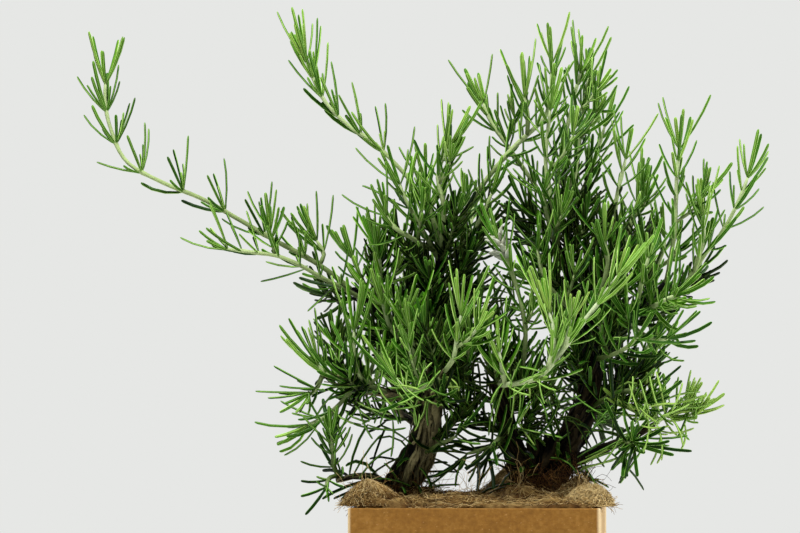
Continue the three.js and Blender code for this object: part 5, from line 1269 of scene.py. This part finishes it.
# single leaves that the whorls don't give: for each, how young it is and the places of root, bend and tip
loneLeaves = (
    ("left_arch", [(0.4, -106, -4, 287, -121, -8, 281, -133, -10, 279),
     (0.4, -104, -3, 289, -118, -4, 287, -131, -2, 292), (0.35, -85, -8, 277, -94, -14, 271, -102, -18, 275),
     (0.3, -86, -6, 277, -93, -14, 269, -103, -14, 260)]),
    ("right_base", [(0.1, 99, -30, 181, 93, -37, 175, 85, -44, 163),
     (0.1, 100, -30, 180, 96, -37, 169, 90, -38, 156), (0.15, 102, -31, 182, 116, -36, 180, 131, -38, 183)]),
    ("right_pale", [(1.2, 112, 15, 200, 119, 10, 212, 116, 8, 222),
     (1.3, 88, -12, 212, 98, -13, 221, 104, -12, 210)]),
    ("mid_low", [(0, -7, -30, 169, -12, -36, 162, -26, -38, 152)]),
    ("left_fall", [(0.06, -66, -18, 156, -56, -20, 166, -44, -22, 170),
     (0.06, -70, -20, 157, -60, -24, 172, -48, -24, 176), (0.08, -74, -20, 158, -66, -22, 174, -56, -22, 184),
     (0.05, -76, -20, 158, -74, -24, 176, -64, -26, 190),
     (0.05, -62, -16, 157, -50, -18, 158, -38, -20, 152)]),
    ("mid_low", [(0, -2, -29, 172, -14, -33, 175, -28, -32, 173),
     (0, 2, -27, 174, -4, -34, 184, -14, -38, 186), (0, 3, -27, 173, 6, -36, 160, 4, -42, 149),
     (0, 8, -24, 175, 14, -36, 164, 14, -42, 150), (0.1, -4, -29, 171, -10, -30, 162, -10, -28, 152)]),
    ("front_bright", [(0.35, 27, -22, 188, 41, -26, 185, 55, -24, 182),
     (0.3, 25, -20, 190, 23, -26, 181, 19, -26, 173), (0.5, 21, -24, 202, 20, -30, 187, 11, -30, 173),
     (0.2, 44, -20, 200, 46, -26, 190, 51, -26, 180), (0.45, 36, -26, 205, 29, -30, 196, 26, -30, 187)]),
    ("right_inner_low", [(0.15, 53, -22, 205, 51, -26, 193, 39, -26, 181),
     (0.15, 62, -20, 208, 72, -24, 199, 80, -24, 196), (0.1, 53, -16, 196, 61, -20, 190, 72, -20, 188)]),
    ("right_base", [(0.15, 102, -24, 184, 95, -28, 174, 85, -28, 162),
     (0.2, 107, -24, 180, 98, -28, 167, 90, -28, 154)]),
    ("right_pale", [(0.9, 132, 8, 199, 129, 4, 190, 125, 2, 182),
     (1.2, 117, 0, 205, 126, -4, 210, 139, -4, 210), (1.1, 119, 0, 202, 130, -4, 204, 142, -4, 208),
     (1.2, 114, 0, 206, 117, -4, 216, 122, -4, 222), (1.1, 111, 0, 204, 107, -4, 212, 108, -4, 221),
     (1, 108, 0, 202, 102, -4, 198, 96, -4, 190), (1.1, 102, -6, 206, 96, -10, 211, 88, -10, 210),
     (1.1, 121, 4, 202, 132, 0, 198, 146, 0, 203)]),
    ("front_bright", [(1.2, 34, -26, 216, 36, -29, 211, 35, -26, 206),
     (1.5, 37, -24, 204, 33, -27, 199, 28, -24, 190), (0.45, 26, -27, 214, 26, -30, 199, 22, -27, 184),
     (0.4, 29, -26, 212, 31, -29, 202, 27, -26, 190), (0.5, 38, -26, 209, 44, -29, 204, 46, -26, 193),
     (0.5, 20, -25, 214, 16, -28, 204, 13, -25, 189), (0.35, 16, -24, 211, 11, -27, 199, 10, -24, 183)]),
    ("right_inner_low", [(0.06, 66, -18, 208, 53, -21, 202, 40, -18, 200),
     (0.06, 62, -15, 206, 49, -18, 203, 33, -15, 196), (0.04, 53, -16, 181, 52, -19, 190, 47, -16, 198),
     (0.04, 46, -14, 182, 42, -17, 190, 33, -14, 200), (0.05, 51, -20, 187, 44, -23, 196, 54, -20, 202),
     (0.04, 35, -14, 181, 32, -17, 190, 38, -14, 196), (0.02, 44, -16, 178, 40, -19, 184, 31, -16, 186),
     (0.08, 53, -20, 196, 60, -23, 202, 69, -20, 204), (0.03, 70, -22, 188, 62, -25, 197, 53, -22, 194),
     (0.1, 72, -20, 185, 78, -23, 195, 86, -20, 202), (0.05, 38, -12, 183, 44, -15, 189, 50, -12, 190),
     (0.05, 39, -10, 205, 36, -13, 211, 30, -10, 214), (0.05, 50, -10, 206, 46, -13, 212, 38, -10, 214),
     (0.1, 57, -12, 210, 51, -15, 215, 44, -12, 210)]),
    ("right_base", [(0.95, 64, -26, 166, 78, -29, 172, 92, -26, 180),
     (0.8, 67, -24, 164, 83, -27, 166, 102, -24, 175), (0.15, 69, -27, 170, 83, -30, 176, 97, -27, 184),
     (0.5, 79, -28, 166, 86, -31, 173, 90, -28, 182), (0.05, 64, -25, 170, 75, -28, 177, 86, -25, 183),
     (0.35, 102, -30, 178, 96, -33, 172, 84, -30, 162), (0.04, 100, -32, 176, 97, -35, 166, 89, -32, 154),
     (0.05, 100, -28, 182, 107, -31, 177, 120, -28, 177)]),
    ("right_pale", [(1.4, 129, 0, 191, 132, -3, 182, 126, 0, 173),
     (1.3, 117, 2, 179, 116, -1, 172, 112, 2, 166), (0.9, 114, 4, 182, 113, 1, 173, 108, 4, 165),
     (1.2, 111, 0, 190, 108, -3, 204, 110, 0, 216), (1.2, 115, -4, 193, 113, -7, 205, 115, -4, 217),
     (1, 120, 2, 204, 118, -1, 211, 114, 2, 216), (1.3, 130, 6, 200, 131, 3, 210, 133, 6, 217),
     (0.8, 129, 8, 202, 128, 5, 211, 129, 8, 220), (0.9, 135, 4, 192, 136, 1, 201, 139, 4, 208),
     (1.2, 102, -6, 187, 98, -9, 196, 99, -6, 206), (1.3, 107, -8, 187, 104, -11, 196, 109, -8, 206),
     (0.9, 94, -10, 190, 90, -13, 199, 93, -10, 209), (1.1, 87, -10, 193, 87, -13, 204, 91, -10, 213),
     (1.5, 111, 0, 187, 124, -3, 182, 135, 0, 188), (1.5, 108, 4, 198, 116, 1, 190, 128, 4, 193),
     (1.4, 105, -2, 190, 109, -5, 183, 119, -2, 184)]),
    ("dry_buds", [(0.08, 43, -6, 309, 35, -9, 304, 23, -6, 301),
     (0.1, 46, -8, 302, 36, -11, 303, 25, -8, 300), (0.1, -2, -10, 300, 10, -13, 295, 24, -10, 293),
     (0.3, 22, -16, 273, 13, -19, 280, 6, -16, 291), (0.3, 24, -18, 271, 19, -21, 278, 14, -18, 286),
     (0.12, 21, -12, 271, 10, -15, 275, -2, -12, 277), (0.15, 24, -14, 267, 10, -17, 268, -2, -14, 269),
     (0.08, 22, -10, 267, 10, -13, 265, -3, -10, 264), (0.35, 27, -20, 266, 22, -23, 258, 16, -20, 254),
     (0.25, 42, -18, 265, 36, -21, 274, 30, -18, 285), (0.45, 30, -18, 283, 35, -21, 291, 37, -18, 298),
     (0.75, 26, -22, 266, 24, -25, 276, 25, -22, 286), (0.6, 27, -22, 266, 30, -25, 276, 27, -22, 285),
     (0.5, 24, -20, 272, 22, -23, 281, 23, -20, 290), (1.6, 30, -24, 259, 26, -27, 261, 24, -24, 264),
     (1.6, 30, -24, 259, 32, -27, 263, 34, -24, 266), (1.5, 30, -25, 257, 34, -28, 258, 35, -25, 261),
     (1.6, 30, -24, 258, 28, -27, 255, 26, -24, 257), (1.5, 30, -24, 256, 32, -27, 253, 34, -24, 251),
     (1.6, 29, -25, 262, 31, -28, 258, 32, -25, 255), (0.05, 16, -8, 261, 8, -11, 259, -1, -8, 261),
     (0.05, 28, -6, 248, 19, -9, 251, 8, -6, 253), (0.1, 38, -8, 253, 28, -11, 256, 17, -8, 253),
     (0.12, 41, -8, 278, 32, -11, 275, 24, -8, 279)]),
    ("front_bright", [(0.25, 22, -20, 215, 24, -23, 206, 23, -20, 198),
     (0.3, 32, -22, 215, 32, -25, 204, 28, -22, 193), (0.15, 35, -18, 215, 38, -21, 206, 36, -18, 196),
     (0.2, 42, -18, 214, 46, -21, 206, 49, -18, 198), (0.12, 46, -16, 217, 51, -19, 210, 53, -16, 200),
     (1, 27, -24, 193, 32, -27, 185, 38, -24, 177)]),
    ("right_inner_low", [(0.04, 60, -12, 215, 53, -15, 212, 44, -12, 206),
     (0.06, 59, -12, 204, 52, -15, 199, 41, -12, 194), (0.03, 53, -10, 190, 46, -13, 193, 37, -10, 190),
     (0.04, 32, -10, 177, 35, -13, 186, 41, -10, 190), (0.04, 28, -12, 186, 35, -15, 189, 43, -12, 187),
     (0.05, 25, -14, 198, 32, -17, 200, 41, -14, 198), (0.04, 23, -10, 205, 31, -13, 208, 39, -10, 204),
     (0.05, 51, -14, 218, 47, -17, 211, 40, -14, 208), (0.08, 71, -12, 183, 76, -15, 190, 78, -12, 199),
     (0.05, 68, -12, 181, 73, -15, 189, 81, -12, 193), (0.06, 69, -10, 198, 78, -13, 200, 87, -10, 198),
     (0.04, 38, -8, 177, 37, -11, 183, 32, -8, 188)]),
    ("right_pale", [(1.3, 94, -6, 182, 105, -9, 187, 116, -6, 194),
     (1.4, 98, -8, 186, 108, -11, 193, 120, -8, 196), (1.2, 102, -6, 181, 109, -9, 187, 117, -6, 187),
     (1.1, 91, -8, 183, 99, -11, 187, 109, -8, 186), (1.5, 119, 4, 194, 126, 1, 199, 132, 4, 198),
     (1.3, 116, 4, 195, 119, 1, 187, 125, 4, 183)]),
    ("right_base", [(0.7, 65, -22, 162, 75, -25, 166, 86, -22, 168),
     (0.9, 68, -22, 166, 76, -25, 171, 85, -22, 173)]),
    ("mid_low", [(0, 15, -20, 181, 7, -23, 178, -2, -20, 181), (0, 12, -24, 173, 6, -27, 166, -3, -24, 160),
     (0, 10, -26, 177, 5, -29, 168, -4, -26, 162), (0, -2, -22, 174, -9, -25, 178, -16, -22, 177),
     (0, 6, -24, 173, -1, -27, 170, -11, -24, 167), (0, 17, -20, 176, 19, -23, 168, 17, -20, 160),
     (0, 2, -26, 171, 5, -29, 164, 4, -26, 156), (0.02, 16, -24, 173, 11, -27, 162, 3, -24, 154)]),
    ("left_tail", [(0.9, -87, -26, 200, -78, -29, 190, -68, -26, 190),
     (0.8, -78, -24, 198, -72, -27, 192, -63, -24, 192), (0.3, -74, -22, 195, -70, -25, 204, -59, -22, 209),
     (0.45, -85, -24, 198, -92, -27, 187, -83, -24, 178)]),
    ("left_droop", [(0.45, -97, -10, 190, -105, -13, 176, -118, -10, 171),
     (0.3, -86, -10, 198, -84, -13, 187, -80, -10, 176)]),
    ("mid_left", [(0.85, -56, -44, 214, -53, -47, 205, -44, -44, 199),
     (0.95, -47, -46, 218, -43, -49, 205, -34, -46, 200), (0.6, -30, -40, 202, -41, -43, 198, -53, -40, 200),
     (1.3, -31, -42, 196, -30, -45, 191, -34, -42, 186), (0.5, -68, -36, 198, -65, -39, 188, -60, -36, 181),
     (0.1, -64, -30, 190, -52, -33, 184, -40, -30, 188), (0.5, -48, -34, 193, -46, -37, 182, -49, -34, 170),
     (1.5, -24, -44, 209, -16, -47, 214, -6, -44, 212), (1.5, -11, -44, 210, -11, -47, 218, -18, -44, 219),
     (1.4, -16, -42, 219, -8, -45, 218, -7, -42, 210), (0.7, -70, -38, 204, -60, -41, 198, -48, -38, 196),
     (0.5, -74, -36, 207, -70, -39, 198, -60, -36, 193), (0.35, -53, -34, 202, -57, -37, 195, -67, -34, 190),
     (0.3, -45, -32, 202, -41, -35, 194, -45, -32, 185), (0.12, -61, -28, 199, -54, -31, 192, -44, -28, 193),
     (0.2, -38, -30, 205, -33, -33, 198, -34, -30, 189), (0.1, -78, -26, 193, -67, -29, 187, -56, -26, 187),
     (1, -28, -40, 206, -22, -43, 201, -15, -40, 202)]),
    ("centre_low", [(0.15, -20, -22, 206, -12, -25, 200, -10, -22, 192),
     (0.1, -13, -20, 208, -4, -23, 203, 3, -20, 204), (0.1, -7, -20, 208, 1, -23, 200, 2, -20, 190),
     (0.06, -2, -18, 210, 7, -21, 203, 8, -18, 193)]),
    ("mid_left", [(0.5, -27, -52, 218, -37, -55, 210, -49, -52, 212),
     (0.7, -25, -53, 217, -34, -56, 214, -44, -53, 218), (0.4, -49, -52, 222, -44, -55, 214, -36, -52, 209),
     (0.9, -42, -54, 212, -46, -57, 219, -48, -54, 230), (0.8, -37, -54, 211, -39, -57, 220, -36, -54, 231),
     (0.6, -32, -54, 213, -29, -57, 221, -22, -54, 227), (0.4, -53, -50, 228, -51, -53, 219, -56, -50, 210),
     (0.3, -52, -50, 225, -45, -53, 218, -43, -50, 208), (0.2, -40, -40, 208, -50, -43, 204, -61, -40, 204),
     (0.15, -44, -40, 207, -52, -43, 200, -55, -40, 190), (0.3, -59, -40, 207, -50, -43, 202, -39, -40, 202),
     (0.1, -54, -38, 208, -45, -41, 199, -44, -38, 190)]),
    ("right_inner_low", [(0.03, 46, -14, 190, 51, -17, 200, 57, -14, 210),
     (0.04, 53, -11, 187, 48, -14, 198, 44, -11, 209), (0.05, 56, -8, 194, 48, -11, 199, 41, -8, 205),
     (0.06, 42, -5, 192, 50, -8, 194, 60, -5, 193), (0.07, 51, -14, 205, 45, -17, 210, 36, -14, 211),
     (0.08, 41, -11, 208, 51, -14, 211, 60, -11, 210), (0.03, 47, -8, 183, 53, -11, 190, 56, -8, 200),
     (0.04, 56, -5, 204, 49, -8, 205, 42, -5, 200), (0.05, 46, -14, 210, 51, -17, 204, 51, -14, 194),
     (0.06, 54, -11, 212, 47, -14, 215, 40, -11, 214), (0.07, 33, -8, 194, 41, -11, 189, 48, -8, 188),
     (0.08, 34, -5, 183, 40, -8, 187, 47, -5, 194), (0.03, 31, -14, 187, 37, -17, 193, 38, -14, 203),
     (0.04, 38, -11, 181, 33, -14, 188, 32, -11, 199)]),
    ("right_pale", [(1.45, 114, -40, 198, 110, -43, 207, 108, -40, 219),
     (1.3, 108, -38, 197, 105, -41, 207, 102, -38, 217), (1.5, 117, -36, 197, 116, -39, 208, 112, -36, 222),
     (1.1, 102, -40, 196, 99, -43, 204, 96, -40, 214), (1.45, 111, -38, 192, 117, -41, 183, 115, -38, 168),
     (1.3, 107, -36, 194, 109, -39, 183, 104, -36, 173), (1.5, 115, -40, 195, 124, -43, 197, 132, -40, 202),
     (1.1, 119, -38, 195, 127, -41, 189, 128, -38, 176), (1.45, 121, -36, 197, 126, -39, 206, 128, -36, 215),
     (1.3, 108, -40, 200, 114, -43, 203, 124, -40, 202), (1.5, 102, -38, 200, 107, -41, 194, 114, -38, 190),
     (1.1, 99, -36, 190, 105, -39, 196, 106, -36, 205), (1.45, 95, -40, 202, 99, -43, 209, 98, -40, 219),
     (1.3, 103, -38, 189, 112, -41, 186, 120, -38, 189)]),
    ("mid_left", [(0.5, -22, -66, 212, -29, -69, 208, -39, -66, 207),
     (0.9, -26, -66, 209, -33, -69, 213, -42, -66, 213), (0.3, -33, -66, 209, -28, -69, 214, -21, -66, 215),
     (0.7, -38, -66, 213, -33, -69, 207, -26, -66, 204), (0.5, -42, -66, 216, -38, -69, 209, -32, -66, 203),
     (0.9, -28, -66, 210, -33, -69, 204, -42, -66, 202), (0.3, -24, -66, 213, -19, -69, 208, -12, -66, 207),
     (0.7, -36, -66, 210, -38, -69, 217, -34, -66, 226), (0.5, -30, -66, 210, -28, -69, 217, -25, -66, 225),
     (0.9, -25, -66, 211, -21, -69, 217, -16, -66, 222), (0.9, -29, -24, 208, -27, -27, 200, -32, -24, 193),
     (0.3, -22, -24, 209, -20, -27, 200, -22, -24, 190), (1.2, -33, -24, 206, -37, -27, 199, -35, -24, 190),
     (0.2, -20, -24, 210, -14, -27, 202, -12, -24, 193), (0.1, -17, -24, 206, -10, -27, 200, -6, -24, 190),
     (0.15, -26, -24, 206, -29, -27, 199, -27, -24, 189)]),
    ("front_bright", [(0.9, 27, -66, 214, 22, -69, 220, 20, -66, 229),
     (0.7, 31, -66, 214, 38, -69, 218, 46, -66, 220), (0.8, 36, -66, 215, 32, -69, 209, 24, -66, 205),
     (1, 41, -66, 216, 46, -69, 211, 53, -66, 210), (0.6, 24, -66, 213, 29, -69, 208, 37, -66, 207),
     (0.9, 46, -66, 220, 40, -69, 223, 31, -66, 224), (1.2, 34, -66, 214, 35, -69, 206, 34, -66, 198),
     (0.9, 43, -66, 217, 43, -69, 209, 46, -66, 202), (0.8, 21, -66, 214, 16, -69, 209, 14, -66, 202)]),
    ("crown_front", [(0.6, -39, -20, 331, -38, -24, 343, -34, -24, 358)]),
    ("crown_left", [(0.5, -45, -20, 328, -47, -24, 342, -54, -24, 353),
     (0.5, -48, -20, 325, -57, -24, 334, -68, -24, 337)]),
)


def makeSprigs():
    leaves = 0
    single = [(owner, *leaf) for owner, several in loneLeaves for leaf in several]
    for shoot in shoots:
        shoot.setdefault("name", shoot["sprig"])
        lines[shoot["name"]] = growthLine(shoot)
    for sprig in dict.fromkeys(shoot["sprig"] for shoot in shoots):
        bm = newPiece()
        parts = []
        for index, shoot in enumerate(shoots):
            if shoot["sprig"] != sprig:
                continue
            readyShoot(shoot, index)
            twigs = twigsOf(shoot, round(shoot["twigs"] * shoot["length"] / 30), index)
            parts += [(shoot, shoot["youth"])] + [(twig, shoot["youth"] - 0.05) for twig in twigs]
        for part, youth in parts:
            addStem(bm, part, youth)
        closeRanks(bm)
        for part, youth in parts:
            leaves += addFoliage(bm, part, youth)
        for n, (owner, youth, *place) in enumerate(single):
            # the number of a leaf in the whole table seeds its draws
            if owner == sprig:
                root, bend, tip = (Vector(place[i:i + 3]) + plantShift for i in (0, 3, 6))
                addLeaf(bm, (root, bend, tip, up, (tip - root).length), youth, 800 + n)
        if sprig == "dry_buds":
            addBuds(bm, [shoot for shoot in shoots if shoot["name"] == sprig][0])
        finishPiece("leafy_" + sprig, bm, [finishes["leaf"], finishes["stem"], finishes["bud"]],
                    ["sprig_" + sprig])
    print("sprigs made, leaves:", leaves)


# Dried flower buds at the tip of one sprig: pinched husks round a short stem
budRule = {
    "count": 18, "length": (6.5, 9.5), "width": (3.2, 4.6), "reach": 15, "past": 3, "opening": (15, 75),
    "droop": 0.15, "bend": 0.18, "flatter": 0.35, "tone": 0.5,
}
budShape = newTemplate("budShape", [(math.cos(a * math.pi / 4), math.sin(a * math.pi / 4)) for a in range(8)],
                       (0, 0.12, 0.35, 0.6, 0.82, 1), (0.2, 0.6, 1, 0.95, 0.55, 0.35))


def addBuds(bm, shoot):
    tip, (start, along, side, depth) = shoot["place"](1), shoot["stretches"][-1]
    for n in range(budRule["count"]):
        out = outwardAt(side, depth, 137.5 * n)
        opening = math.radians(mix(*budRule["opening"], chance(n, 1, 31)))
        way = (along * math.cos(opening) + out * math.sin(opening) - up * budRule["droop"]).normalized()
        root = tip - along * (budRule["reach"] * n / budRule["count"] - budRule["past"])
        length, width = (mix(*budRule[size], chance(n, 2, 32)) for size in ("length", "width"))
        across = way.cross(out if opening > 0.3 else side).normalized()
        stations = []
        for share, wide in zip(budShape["rings"], budShape["widths"]):
            bend = out * (budRule["bend"] * length * share * share)
            fold = 1 - budRule["flatter"] * share
            stations.append((root + way * length * share + bend, across * width * wide / 2,
                             across.cross(way) * width * wide * fold / 2))
        addCopy(bm, budShape, stations, budRule["tone"], 2)


makeSprigs()


# Leafy twigs straight on the limbs, inside the bush: how many on each
innerTwigs = {
    "left_low": 3, "left_mid": 5, "left_up": 13, "left_front": 3, "left_back": 5, "left_back_low": 4,
    "left_trunk": 3, "right_leader": 8, "right_outer": 6, "right_upper": 3, "right_back": 5,
    "right_back_low": 5, "right_low": 0, "right_low_back": 0, "right_arm_main": 6, "right_arm_left": 7,
}
# the very low leaf tone on these twigs paints the shade inside the bush
innerRule = {"from": 0.1, "fromStrands": 0.55, "length": (22, 42), "stem": 0.1, "leaf": 0.04}
# long dark leaves that hang from the trunks' feet and forks, their low tone also giving them painted shade:
# limb, how many, and between which shares of it
lowLeaves = {
    "trunk_left": (("left_trunk", 22, 0.05, 0.6), ("left_twig", 10, 0.1, 1), ("left_low", 14, 0.3, 1)),
    "trunk_right": (("right_arm_left", 30, 0.15, 1), ("right_fork", 14, 0.3, 1),
                    ("right_arm_main", 34, 0.2, 0.8), ("right_low", 12, 0.1, 0.8)),
}
lowRule = {
    "length": (22, 38), "ahead": (-0.2, 0.6), "rise": 0.25, "droop": (0.2, 1.3), "bendAt": 0.55, "clear": 3.5,
    "lowest": 144, "youth": 0.1, "steps": 12,
}


def addLowLeaves(bm, limb, count, low, high, seed):
    place, length = lines[limb]
    steps, bendAt = lowRule["steps"], lowRule["bendAt"]
    stretches = stretchesOf(place, steps)
    for n in range(count):
        share = mix(low, high, (n + chance(seed, n, 1)) / count)
        start, along, side, depth = stretches[min(int(share * steps), steps - 1)]
        out = outwardAt(side, depth, 360 * chance(seed, n, 2))
        size = mix(*lowRule["length"], chance(seed, n, 3))
        ahead = along * mix(*lowRule["ahead"], chance(seed, n, 4))
        first = (out + ahead + up * lowRule["rise"]).normalized()
        last = (first - up * mix(*lowRule["droop"], chance(seed, n, 5))).normalized()
        root = place(share) + out * lowRule["clear"]
        bend, tip = root + first * size * bendAt, root + (first * bendAt + last * (1 - bendAt)) * size
        rise = max(0, lowRule["lowest"] - tip.z)
        aim = root, bend + up * rise * 0.5, tip + up * rise, along, size
        addLeaf(bm, aim, lowRule["youth"] * chance(seed, n, 6), seed + n)


def makeInnerTwigs(trunk, name):
    bm = newPiece()
    twigs = []
    holders = [limb for limb in limbs if limb["trunk"] == trunk and limb["name"] in innerTwigs]
    for seed, limb in enumerate(holders):
        place, length = lines[limb["name"]]
        holder = {"place": place, "stretches": stretchesOf(place, max(2, round(length / 10)))}
        low = innerRule["fromStrands" if "strands" in limb else "from"]
        twigs += twigsOf(holder, innerTwigs[limb["name"]], 200 + seed, low, 1.0, innerRule["length"], 1)
    for twig in twigs:
        addStem(bm, twig, innerRule["stem"])
    closeRanks(bm)
    leaves = sum(addFoliage(bm, twig, innerRule["leaf"]) for twig in twigs)
    for seed, (limb, count, low, high) in enumerate(lowLeaves[trunk]):
        addLowLeaves(bm, limb, count, low, high, 400 + 50 * seed)
    finishPiece(name, bm, [finishes["leaf"], finishes["stem"]])
    print(name, "leaves:", leaves)


makeInnerTwigs("trunk_left", "innerTwigsLeft")
makeInnerTwigs("trunk_right", "innerTwigsRight")

# Camera, light and floor
view = {"from": (0.120, -1.796, 0.175), "turn": 5.43, "rise": 3.6, "lens": 130.6}


def makeCamera():
    camera = bpy.data.objects.new("viewCamera", bpy.data.cameras.new("viewCamera"))
    bpy.context.scene.collection.objects.link(camera)
    camera.data.lens = view["lens"]
    camera.data.sensor_width = 36
    turn, rise = math.radians(view["turn"]), math.radians(view["rise"])
    ahead = Vector((-math.sin(turn) * math.cos(rise), math.cos(turn) * math.cos(rise), math.sin(rise)))
    camera.location = view["from"]
    camera.rotation_euler = ahead.to_track_quat("-Z", "Y").to_euler()
    bpy.context.scene.camera = camera


lamps = {
    "keyLight": {"at": (-0.3, -0.9, 2.1), "size": 0.5, "power": 69},
    "rightLight": {"at": (1.7, 0.25, 0.8), "size": 0.5, "power": 30},
    "backLight": {"at": (-0.6, 1.4, 1.4), "size": 0.8, "power": 14},
}


def makeLight():
    world = bpy.data.worlds.new("paleRoom")
    world.use_nodes = True
    nodes, links = world.node_tree.nodes, world.node_tree.links
    seen, cast = nodes["Background"], nodes.new("ShaderNodeBackground")
    seen.inputs["Color"].default_value = colour(230, 231, 229)
    cast.inputs["Color"].default_value = (1, 1, 1, 1)
    cast.inputs["Strength"].default_value = 0.16
    path, either = nodes.new("ShaderNodeLightPath"), nodes.new("ShaderNodeMixShader")
    links.new(path.outputs["Is Camera Ray"], either.inputs[0])
    links.new(cast.outputs[0], either.inputs[1])
    links.new(seen.outputs[0], either.inputs[2])
    links.new(either.outputs[0], nodes["World Output"].inputs["Surface"])
    bpy.context.scene.world = world
    for name, lamp in lamps.items():
        light = bpy.data.lights.new(name, "AREA")
        light.energy = lamp["power"]
        light.size = lamp["size"]
        holder = bpy.data.objects.new(name, light)
        bpy.context.scene.collection.objects.link(holder)
        holder.location = lamp["at"]
        towards = Vector((0, 0, 0.25)) - holder.location
        holder.rotation_euler = towards.to_track_quat("-Z", "Y").to_euler()
    bpy.context.scene.view_settings.view_transform = "Standard"


def makeFloor():
    bm = bmesh.new()
    bmesh.ops.create_grid(bm, x_segments=8, y_segments=8, size=1.2)
    mesh = bpy.data.meshes.new("paleFloor")
    bm.to_mesh(mesh)
    bm.free()
    pale = Finish("palePaper", 0.7, 0.2)
    pale.painted(pale.ramp(pale.mottled(3, 60, 0.2), [(0.3, grey(0.78)), (0.7, grey(0.82))]))
    mesh.materials.append(pale.material)
    floor = bpy.data.objects.new("paleFloor", mesh)
    floor.location.z = -0.0005
    bpy.context.scene.collection.objects.link(floor)
    floor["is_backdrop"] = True


makeCamera()
makeLight()
makeFloor()
boxes = {"cad": cadBox, "visual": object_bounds()}
{title: [list(corner) for corner in box] for title, box in boxes.items()}
print("scene ready")
